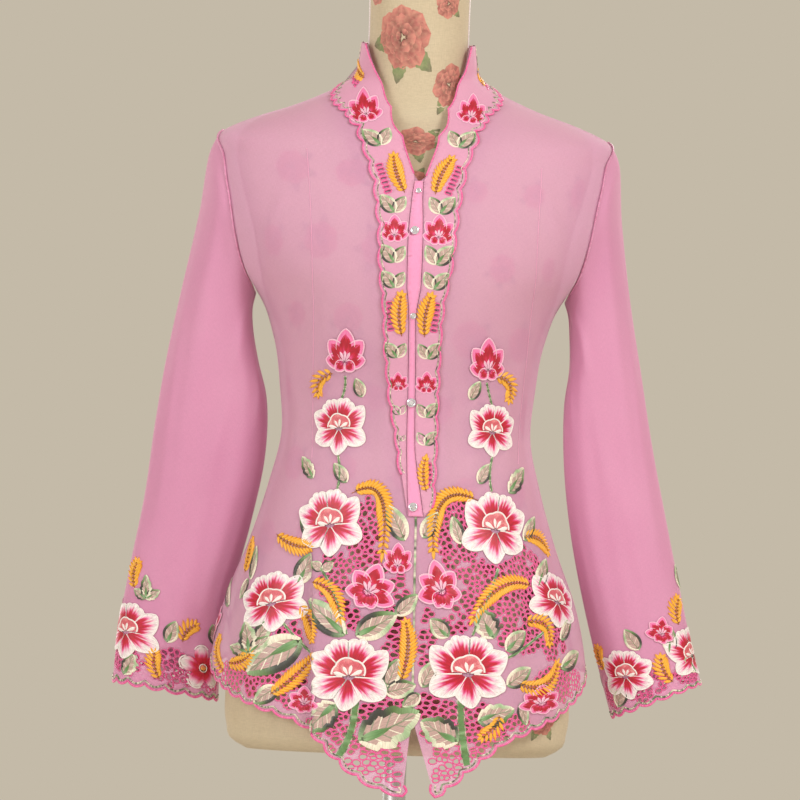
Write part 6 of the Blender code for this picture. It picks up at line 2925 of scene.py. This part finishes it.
CUFFS = {
    -1: (
        CuffBloom(Kind.PEONY, 122, 478, 52, 8),
        CuffBloom(Kind.FIVE, 38, 497, 40, 10),
        CuffBloom(Kind.MAPLE, 104, 440, 24, 10),
        CuffBloom(Kind.PEONY, 226, 484, 48, -6),
        CuffBloom(Kind.LOTUS, 272, 470, 28, 0),
        CuffBloom(Kind.LOTUS, 176, 452, 26, 12),
    ),
    1: (
        CuffBloom(Kind.PEONY, 50, 490, 46, -6),
        CuffBloom(Kind.PEONY, 135, 480, 44, 10),
        CuffBloom(Kind.LOTUS, 96, 448, 26, -8),
        CuffBloom(Kind.PEONY, 226, 484, 48, 6),
        CuffBloom(Kind.LOTUS, 272, 470, 28, 0),
        CuffBloom(Kind.LOTUS, 180, 440, 26, 10),
    ),
}
CUFF_SPRIGS = {
    -1: (
        CuffLeaf(76, 478, 17, -14, LeafKind.SATIN),
        CuffLeaf(84, 505, 26, 20, None),
        CuffLeaf(118, 520, 17, -20, LeafKind.SERRATED),
        CuffLeaf(124, 420, 26, 12, None),
        CuffLeaf(20, 470, 16, 22, LeafKind.PLAIN),
        CuffLeaf(58, 464, 22, -24, None),
        CuffLeaf(200, 458, 17, 30, LeafKind.SATIN),
        CuffLeaf(252, 456, 17, -30, LeafKind.SERRATED),
        CuffLeaf(224, 440, 26, 4, None),
        CuffLeaf(288, 500, 17, 10, LeafKind.PLAIN),
        CuffLeaf(160, 486, 17, -10, LeafKind.PLAIN),
    ),
    1: (
        CuffLeaf(92, 494, 26, 18, None),
        CuffLeaf(100, 470, 17, -22, LeafKind.SATIN),
        CuffLeaf(134, 506, 17, 20, LeafKind.SERRATED),
        CuffLeaf(30, 520, 16, -30, LeafKind.PLAIN),
        CuffLeaf(70, 462, 17, 24, LeafKind.PLAIN),
        CuffLeaf(124, 426, 26, -10, None),
        CuffLeaf(146, 400, 17, 8, LeafKind.SATIN),
        CuffLeaf(20, 468, 22, 14, None),
        CuffLeaf(200, 458, 17, 30, LeafKind.SATIN),
        CuffLeaf(252, 456, 17, -30, LeafKind.SERRATED),
        CuffLeaf(224, 440, 26, 4, None),
        CuffLeaf(288, 500, 17, 10, LeafKind.PLAIN),
        CuffLeaf(166, 486, 17, -10, LeafKind.PLAIN),
    ),
}


@dataclass
class SleevePiece:
    """One sleeve as a whole tube, with its cuff's cutwork and sewing, and the armhole seam."""

    side: int
    cut: Cut
    front_parts: tuple[str, ...]
    step: float = 4.5
    cutwork: Cutwork = field(default_factory=Cutwork)

    def build(self, finishes: Finishes) -> None:
        """Makes the sleeve and its sewing.

        Args:
            finishes: The materials.
        """
        word = "left" if self.side > 0 else "right"
        surface = SleeveSurface(self.side)
        whole = 2 * SLEEVE_HALF
        top = resample([(0.0, 0.0), (whole, 0.0)], self.step)
        end = SLEEVE_LENGTH - CUFF_SCALLOP.depth
        outer = resample([(whole, 0.0), (whole, end)], self.step)[1:-1]
        cuff = scalloped([(whole, end), (SLEEVE_HALF, end)], CUFF_SCALLOP, side=-1)[:-1]
        cuff += scalloped([(SLEEVE_HALF, end), (0.0, end)], CUFF_SCALLOP, side=-1)
        inner = resample([(0.0, end), (0.0, 0.0)], self.step)[1:-1]
        outline = [*top, *outer, *cuff, *inner]
        low, high = np.array([6.0, SLEEVE_LENGTH - 45]), np.array([whole - 6.0, SLEEVE_LENGTH])
        gaps = self.cutwork.cells(self.in_pocket, low, high, [outline + outline[:1]], 53 + self.side)
        pattern = Pattern(outline, (), gaps, self.step)
        cloth = Cloth(f"sleeve_{word}_voile", pattern, surface, -float(self.side))
        nodes = [f"sleeve_{word}_{part}" for part in ("back", *self.front_parts)]
        piece = cloth.made(finishes.sleeve, "cotton_voile", nodes)
        sewing = Sewing(f"sleeve_{word}_flowers", surface)
        self.sew_rims(sewing, surface, gaps)
        line = np.array(resample(cuff, 2.2))
        sewing.rope(surface.place(line[:, 0], line[:, 1]), 1.15, repeated(EDGE_STOPS, 16))
        inner_line = shifted(line, 3.2)
        inner_line[:, 0] = np.clip(inner_line[:, 0], 0.0, whole)
        sewing.rope(surface.place(inner_line[:, 0], inner_line[:, 1], 0.4), 0.95, repeated(VARIED_STOPS, 12))
        self.sew_flowers(sewing)
        self.sew_seams(sewing, surface)
        sewn = sewing.made(finishes.floss, "embroidered_band")

    @staticmethod
    def in_pocket(places: Array) -> Array:
        """For each point of the pattern, whether a cuff pocket holds it."""
        held = np.zeros(len(places), bool)
        for p in CUFF_POCKETS:
            across = (places[:, 0] - p.across * SLEEVE_HALF) / p.half_across
            along = (places[:, 1] - p.along) / p.half_along
            held |= across * across + along * along < 1
        return held

    def sew_rims(self, sewing: Sewing, surface: SleeveSurface, gaps: Sequence[Line]) -> None:
        """Wraps the edges of the cuff's gaps."""
        for gap in gaps:
            ring = np.array(gap + gap[:2])
            path = surface.place(ring[:, 0], ring[:, 1], 0.1)
            sewing.rope(path, 0.75, BAR_STOPS, sides=4)

    def sew_flowers(self, sewing: Sewing) -> None:
        """Adds the cuff's flowers, leaves and fronds."""
        for row in CUFF_SPRIGS[self.side]:
            place = (row.around, row.down)
            if row.kind is None:
                half = row.length / 2
                sewing.lay(fern([(0.0, -half), (-5.0, 0.0), (2.0, half)], 150), place, 1.0, row.turn)
            else:
                size = CUFF_LEAF_GROW * row.length / LEAF_SIZE
                sewing.lay(leaf_drawing(row.kind, 0.3), place, size, row.turn, self.side > 0, LEAF_LIFT)
        for row in CUFFS[self.side]:
            drawing, _, tall = bloom_drawing(row.kind)
            size = CUFF_BLOOM_GROW * row.size / tall
            sewing.lay(drawing, (row.around, row.down), size, row.turn, self.side > 0, BLOOM_LIFT)

    def sew_seams(self, sewing: Sewing, surface: SleeveSurface) -> None:
        """Adds the seam along the arm's inner side and the turned seam round the armhole."""
        down = np.arange(2.0, SLEEVE_LENGTH - 1, 5.0)
        path = surface.place(np.zeros(len(down)), down)
        sewing.rope(path, 0.8, WELT_STOPS)
        for behind in (-1.0, 1.0):
            share = np.linspace(0.0, 1.0, 60)
            start = surface.armhole_point(share, np.full(60, behind))
            start[:, 0] *= self.side
            seam = start + np.array([self.side * 0.3, 0.0, 0.0])
            sewing.rope(seam, 1.1, repeated(((0.0, Thread.SEAM), (0.5, Thread.SEAM_DEEP), (1.0, Thread.SEAM)), 9))


@dataclass
class Placket:
    """The plain strip over the split, with its topstitching and its crystal buttons."""

    cut: Cut

    def build(self, finishes: Finishes) -> None:
        """Makes the strip and the buttons.

        Args:
            finishes: The materials.
        """
        right = BODY.seen_line([Seen(row.right_edge, row.height) for row in STRIP])
        left = BODY.seen_line([Seen(row.left_edge, row.height) for row in reversed(STRIP)])
        outline = resample([*right, *left, right[0]], 3.0)[:-1]
        pattern = Pattern(outline, (), (), 3.0)
        cloth = Cloth("placket_strip", pattern, BODY, 1.0, LAYER_RISE)
        piece = cloth.made(finishes.strip, "placket_cotton", ("placket",))
        sewing = Sewing("placket_stitches", BODY)
        for edge, inset in ((STRIP, 1.0),):
            for sign in (-1, 1):
                rows = [
                    Seen((r.right_edge + inset) if sign < 0 else (r.left_edge - inset), r.height) for r in edge
                ]
                line = chart_line(resample(BODY.seen_line(rows), 3.0))
                drawing = Drawing(3)
                drawing.ribbon(line - line[0], 0.45, WELT_STOPS, base=0.25, height=0.35, columns=2)
                sewing.lay(drawing, (float(line[0][0]), float(line[0][1])), lift=LAYER_RISE)
        sewn = sewing.made(finishes.floss, "placket_cotton")
        for number, row in enumerate(BUTTONS, start=1):
            self.build_button(number, row, finishes)

    def build_button(self, number: int, row: Button, finishes: Finishes) -> None:
        """Makes one cut crystal in its silver rim.

        Args:
            number: Which button it is.
            row: Its place and size.
            finishes: The materials.
        """
        radius = row.diameter / 2
        builder = bmesh.new()
        bmesh.ops.create_cone(
            builder,
            cap_ends=True,
            segments=12,
            radius1=radius * 0.9,
            radius2=radius * 0.52,
            depth=row.diameter * 0.26,
            matrix=Matrix.Translation((0, 0, row.diameter * 0.25)),
        )
        rim = bmesh.ops.create_circle(
            builder,
            segments=8,
            radius=0.13 * row.diameter,
            matrix=Matrix.Translation((radius * 0.88, 0, row.diameter * 0.13)) @ Matrix.Rotation(math.pi / 2, 4, "X"),
        )["verts"]
        edges = list({edge for vert in rim for edge in vert.link_edges})
        bmesh.ops.spin(
            builder, geom=rim + edges, cent=(0, 0, 0), axis=(0, 0, 1), angle=math.tau, steps=24, use_merge=True
        )
        bmesh.ops.recalc_face_normals(builder, faces=builder.faces)
        u, level = BODY.seen(np.array([row.across]), np.array([row.height]))
        place = Vector(BODY.place(u, level, BUTTON_LIFT)[0])
        out = Vector(BODY.normal(u, level)[0])
        turn = out.to_track_quat("Z", "Y").to_matrix().to_4x4()
        matrix = Matrix.Scale(MM, 4) @ Matrix.Translation(place) @ turn
        bmesh.ops.transform(builder, matrix=matrix, verts=builder.verts)
        mesh = bpy.data.meshes.new(f"crystal_button_{number}")
        builder.to_mesh(mesh)
        builder.free()
        mesh.materials.append(finishes.crystal)
        button = bpy.data.objects.new(mesh.name, mesh)
        bpy.context.scene.collection.objects.link(button)
        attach(button, BODY_NAME)
        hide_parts(f"button_{number}")


# The form and its stand.


@dataclass
class DressForm:
    """The limbless form under linen, with its neck cap, its printed roses and its side cords."""

    neck_top: float = 1100.0
    cap_height: float = 14.0
    segments: int = 96
    rows: int = 150

    def build(self, finishes: Finishes) -> None:
        """Makes the form.

        Args:
            finishes: The materials.
        """
        levels = np.linspace(FORM_RINGS[0].level, self.neck_top, self.rows)
        self.loft("linen_form", [(FORM, level, 0.0, 1.0) for level in levels], "dress_form", finishes)
        cap = [(0.3, 1.03), (4.0, 1.045), (8.0, 1.03), (11.0, 0.97), (13.2, 0.86), (self.cap_height, 0.72)]
        self.loft(
            "linen_neck_cap",
            [(FORM, self.neck_top - 1.0, rise, size) for rise, size in cap],
            "neck_cap",
            finishes,
        )
        self.build_print(finishes)

    def loft(
        self, name: str, rings: Sequence[tuple[BodySurface, float, float, float]], node: str, finishes: Finishes
    ) -> None:
        """Makes a closed shape through level rings of the form.

        Args:
            name: The piece's name.
            rings: For each ring the surface, its level, its rise over the level, and its size.
            node: The solid that the piece stands for.
            finishes: The materials.
        """
        places, corners = grid(self.segments, len(rings) - 1)
        turn = math.pi * places[:, 0] * REACH
        row = np.rint((places[:, 1] + 1) / 2 * (len(rings) - 1)).astype(int)
        level = np.array([ring[1] for ring in rings])[row]
        rise = np.array([ring[2] for ring in rings])[row]
        size = np.array([ring[3] for ring in rings])[row]
        points = FORM.flat(turn, level)
        flat_rise = rise > 0
        points[:, :2] *= size[:, None]
        points[flat_rise, 2] = self.neck_top + rise[flat_rise]
        builder = bmesh.new()
        verts = [builder.verts.new(Vector(p) * MM) for p in points]
        for cell in corners:
            builder.faces.new([verts[k] for k in cell])
        bmesh.ops.remove_doubles(builder, verts=builder.verts, dist=0.00001)
        rims = [edge for edge in builder.edges if edge.is_boundary]
        bmesh.ops.holes_fill(builder, edges=rims, sides=0)
        bmesh.ops.recalc_face_normals(builder, faces=builder.faces)
        mesh = bpy.data.meshes.new(name)
        builder.to_mesh(mesh)
        builder.free()
        mesh.materials.append(finishes.linen)
        mesh.shade_smooth()
        mesh.set_sharp_from_angle(angle=math.radians(50))
        piece = bpy.data.objects.new(name, mesh)
        bpy.context.scene.collection.objects.link(piece)
        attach(piece, BODY_NAME)
        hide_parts(node)
        LOG.info("%s: %d faces", name, len(mesh.polygons))

    def build_print(self, finishes: Finishes) -> None:
        """Makes the generic roses that are printed on the linen, and the cords at the neck's sides."""
        prints = Sewing("linen_roses", FORM)
        rows = [(-16, 1048, 1.5), (34, 1006, 1.0), (0, 952, 1.15), (30, 1078, 0.75), (-52, 1086, 0.7)]
        for number, level in enumerate(range(380, 930, 74)):
            for column in range(6):
                arc = (column - 2.5) * 62 + 31 * (number % 2)
                rows.append((arc, level + 12 * math.sin(arc), 0.85 + 0.2 * math.sin(arc + level)))
        designs = [rose(seed) for seed in (3, 7)]
        for number, (across, level, size) in enumerate(rows):
            prints.lay(designs[number % 2], (across, level), size, 40.0 * number)
        behind = FORM.arc(2 * SIDE_U, 700)
        for number, level in enumerate((420, 520, 620, 720, 820, 1060)):
            for column in (-1, 0, 1) if level < 1000 else (0,):
                prints.lay(designs[number % 2], (behind + column * 74, level), 0.95, 70.0 * number + column)
        prints.made(finishes.print, "form_linen")
        cords = Sewing("linen_side_cords", FORM)
        for sign in (-1, 1):
            level = np.arange(1034.0, self.neck_top - 1, 3.0)
            path = FORM.place(np.full(len(level), sign * SIDE_U), level, 0.4)
            cords.rope(path, 1.3, ((0.0, Thread.PEARL), (1.0, Thread.WHITE)))
        cords.made(finishes.floss, "form_linen")


@dataclass
class Stand:
    """The pole and the round base of pale steel."""

    base_radius: float = 140.0
    base_thickness: float = 9.0
    pole_radius: float = 11.5
    form_bottom: float = 328.0
    gap: float = 0.3

    def build(self, finishes: Finishes) -> None:
        """Makes the pole and the base."""
        self.turned("steel_base", self.base_radius, 0.0, self.base_thickness, 3.0, "stand_base", finishes)
        low, high = self.base_thickness + self.gap, self.form_bottom - self.gap
        self.turned("steel_pole", self.pole_radius, low, high, 0.8, "stand_pole", finishes)

    @staticmethod
    def turned(
        name: str, radius: float, low: float, high: float, edge: float, node: str, finishes: Finishes
    ) -> None:
        """Makes an upright round bar with rounded ends.

        Args:
            name: The piece's name.
            radius: Its radius.
            low: Its lower end.
            high: Its upper end.
            edge: The rounding of its ends.
            node: The solid that it stands for.
            finishes: The materials.
        """
        builder = bmesh.new()
        bmesh.ops.create_cone(
            builder,
            cap_ends=True,
            segments=96,
            radius1=radius * MM,
            radius2=radius * MM,
            depth=(high - low) * MM,
            matrix=Matrix.Translation((0, 0, (low + high) / 2 * MM)),
        )
        rims = [e for e in builder.edges if abs(e.verts[0].co.z - e.verts[1].co.z) < 1e-6]
        bmesh.ops.bevel(
            builder, geom=rims, offset=edge * MM, affect="EDGES", segments=4, profile=0.5, material=-1
        )
        mesh = bpy.data.meshes.new(name)
        builder.to_mesh(mesh)
        builder.free()
        mesh.materials.append(finishes.steel)
        mesh.shade_smooth()
        mesh.set_sharp_from_angle(angle=math.radians(40))
        piece = bpy.data.objects.new(name, mesh)
        bpy.context.scene.collection.objects.link(piece)
        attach(piece, BODY_NAME)
        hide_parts(node)


# Camera, light and floor.


@dataclass
class Studio:
    """The camera at the photograph's angle, a pale floor and soft light."""

    lens: float = 400.0
    sensor: float = 36.0
    frame_width: float = 0.8
    roll: float = 0.0328
    floor_radius: float = 5.0
    backdrop: Colour = dye(196, 186, 168)

    def build(self) -> None:
        """Makes the camera, the floor, the world and the lights."""
        scene = bpy.context.scene
        distance = self.frame_width * self.lens / self.sensor
        data = bpy.data.cameras.new("view")
        data.lens = self.lens
        data.sensor_width = self.sensor
        camera = bpy.data.objects.new("view", data)
        scene.collection.objects.link(camera)
        level = math.sqrt(1 - self.roll**2)
        right, up, back = (level, 0, self.roll), (-self.roll, 0, level), (0, -1, 0)
        turn = Matrix((right, up, back)).transposed().to_4x4()
        camera.matrix_world = Matrix.Translation((-0.007, -distance, 0.6798)) @ turn
        scene.camera = camera
        scene.view_settings.view_transform = "Standard"
        self.build_floor()
        self.build_world()
        self.add_light("key", (2.6, -3.2, 3.2), 1.5, 120.0, (1.0, 0.98, 0.96))
        self.add_light("fill", (-3.0, -3.6, 1.8), 2.4, 84.0, (0.98, 0.98, 1.0))
        self.add_light("rim", (1.6, 3.2, 2.6), 1.8, 55.0, (1.0, 0.98, 0.96))
        self.add_light("rim_low", (-2.6, 2.8, 1.2), 1.8, 30.0, (1.0, 0.98, 0.96))

    def build_floor(self) -> None:
        """Makes the pale floor."""
        builder = bmesh.new()
        bmesh.ops.create_circle(builder, cap_ends=True, segments=96, radius=self.floor_radius)
        bmesh.ops.translate(builder, vec=(0, 0, -0.0005), verts=builder.verts)
        mesh = bpy.data.meshes.new("floor")
        builder.to_mesh(mesh)
        builder.free()
        graph = Graph("pale_floor")
        place = graph.node("ShaderNodeTexCoord").outputs["Object"]
        cloud = graph.noise(place, 2.0, 3.0)
        pale = graph.mixed(cloud, (*dye(222, 216, 208), 1), (*dye(214, 207, 199), 1))
        graph.put(graph.shader.inputs["Base Color"], pale)
        graph.shader.inputs["Roughness"].default_value = 0.8
        mesh.materials.append(graph.material)
        floor = bpy.data.objects.new("floor", mesh)
        bpy.context.scene.collection.objects.link(floor)

    def build_world(self) -> None:
        """Makes the plain pale surroundings."""
        world = bpy.data.worlds.new("pale_room")
        world.use_nodes = True
        shade = world.node_tree.nodes["Background"]
        shade.inputs["Color"].default_value = (*self.backdrop, 1)
        shade.inputs["Strength"].default_value = 1.0
        bpy.context.scene.world = world

    @staticmethod
    def add_light(name: str, place: tuple[float, float, float], size: float, power: float, colour: Colour) -> None:
        """Adds a soft light that faces the blouse.

        Args:
            name: Its name.
            place: Where it stands, in metres.
            size: Its width in metres.
            power: Its power in watts.
            colour: Its colour.
        """
        data = bpy.data.lights.new(name, "AREA")
        data.shape = "DISK"
        data.size = size
        data.energy = power
        data.color = colour
        lamp = bpy.data.objects.new(name, data)
        toward = Vector((0, 0, 0.7)) - Vector(place)
        lamp.matrix_world = Matrix.Translation(place) @ toward.to_track_quat("-Z", "Y").to_matrix().to_4x4()
        bpy.context.scene.collection.objects.link(lamp)


def printed_linen(name: str) -> bpy.types.Material:
    """The ink of the roses, which has soaked into the linen."""
    graph = Graph(name)
    dyed = graph.node("ShaderNodeAttribute", {"attribute_name": "floss"}).outputs["Color"]
    place = graph.node("ShaderNodeTexCoord").outputs["Object"]
    worn = graph.noise(place, 320.0, 3.0)
    soaked = graph.mixed(graph.maths("MULTIPLY", worn, 0.45), dyed, (*dye(216, 196, 160), 1))
    graph.put(graph.shader.inputs["Base Color"], soaked)
    graph.put(graph.shader.inputs["Roughness"], graph.maths("ADD", graph.maths("MULTIPLY", worn, 0.2), 0.7))
    return graph.material


def main() -> None:
    """Builds the blouse, its form and the studio, in order."""
    logging.basicConfig(level=logging.INFO, format="%(message)s")
    bpy.context.scene.cycles.transparent_max_bounces = 32
    Studio().build()
    finishes = Finishes(
        voile=Voile("cotton_voile_body", dye(236, 174, 214), dye(244, 190, 222), 0.42).made(),
        # The sleeves' voile is the body's cloth made darker and deeper pink: painted shade for the dim inside of the
        # sleeve seen through it.
        sleeve=Voile("cotton_voile_sleeve_painted_shade", dye(226, 152, 194), dye(238, 174, 208), 0.62).made(),
        band=Voile("cotton_voile_band", dye(236, 168, 202), dye(243, 184, 212), 0.66).made(),
        strip=Voile("cotton_placket", dye(250, 152, 200), dye(253, 172, 210), 0.9).made(),
        floss=Floss("sewing_floss", 0.5).made(),
        linen=Linen("unbleached_linen", dye(208, 195, 168), dye(194, 177, 147)).made(),
        print=printed_linen("rose_print"),
        steel=Metal("pale_steel", dye(206, 206, 206), 0.32).made(),
        crystal=Crystal("cut_crystal").made(),
    )
    Stand().build(finishes)
    DressForm().build(finishes)
    Back(
        Cut(0.62, 0.63, "draped", ("linen_form",)),
        Cut(0.17, 0.036, "laid", ("linen_form",)),
    ).build(finishes)
    Front(
        -1,
        Cut(0.34, 0.76, "draped", ("linen_form",)),
        Cut(0.075, 0.47, "laid", ()),
        princess=(Seen(-108, 932), Seen(-104, 897), Seen(-97, 800), Seen(-94, 707), Seen(-92, 620)),
    ).build(finishes)
    Front(
        1,
        Cut(0.34, 0.76, "draped", ("linen_form",)),
        Cut(0.075, 0.49, "laid", ()),
        princess=(Seen(126, 915), Seen(124, 860), Seen(120, 754), Seen(114, 690), Seen(112, 620)),
    ).build(finishes)
    for side in (-1, 1):
        rests = ("front_left_voile" if side > 0 else "front_right_voile", "back_voile")
        parts = ("front_upper", "front_lower") if side > 0 else ("front",)
        SleevePiece(side, Cut(0.42, 0.56, "hung", rests), parts).build(finishes)
    Placket(Cut(0.017, 0.34, "laid", ("lapel_right_band", "lapel_left_band"))).build(finishes)


if __name__ == "__main__":
    main()
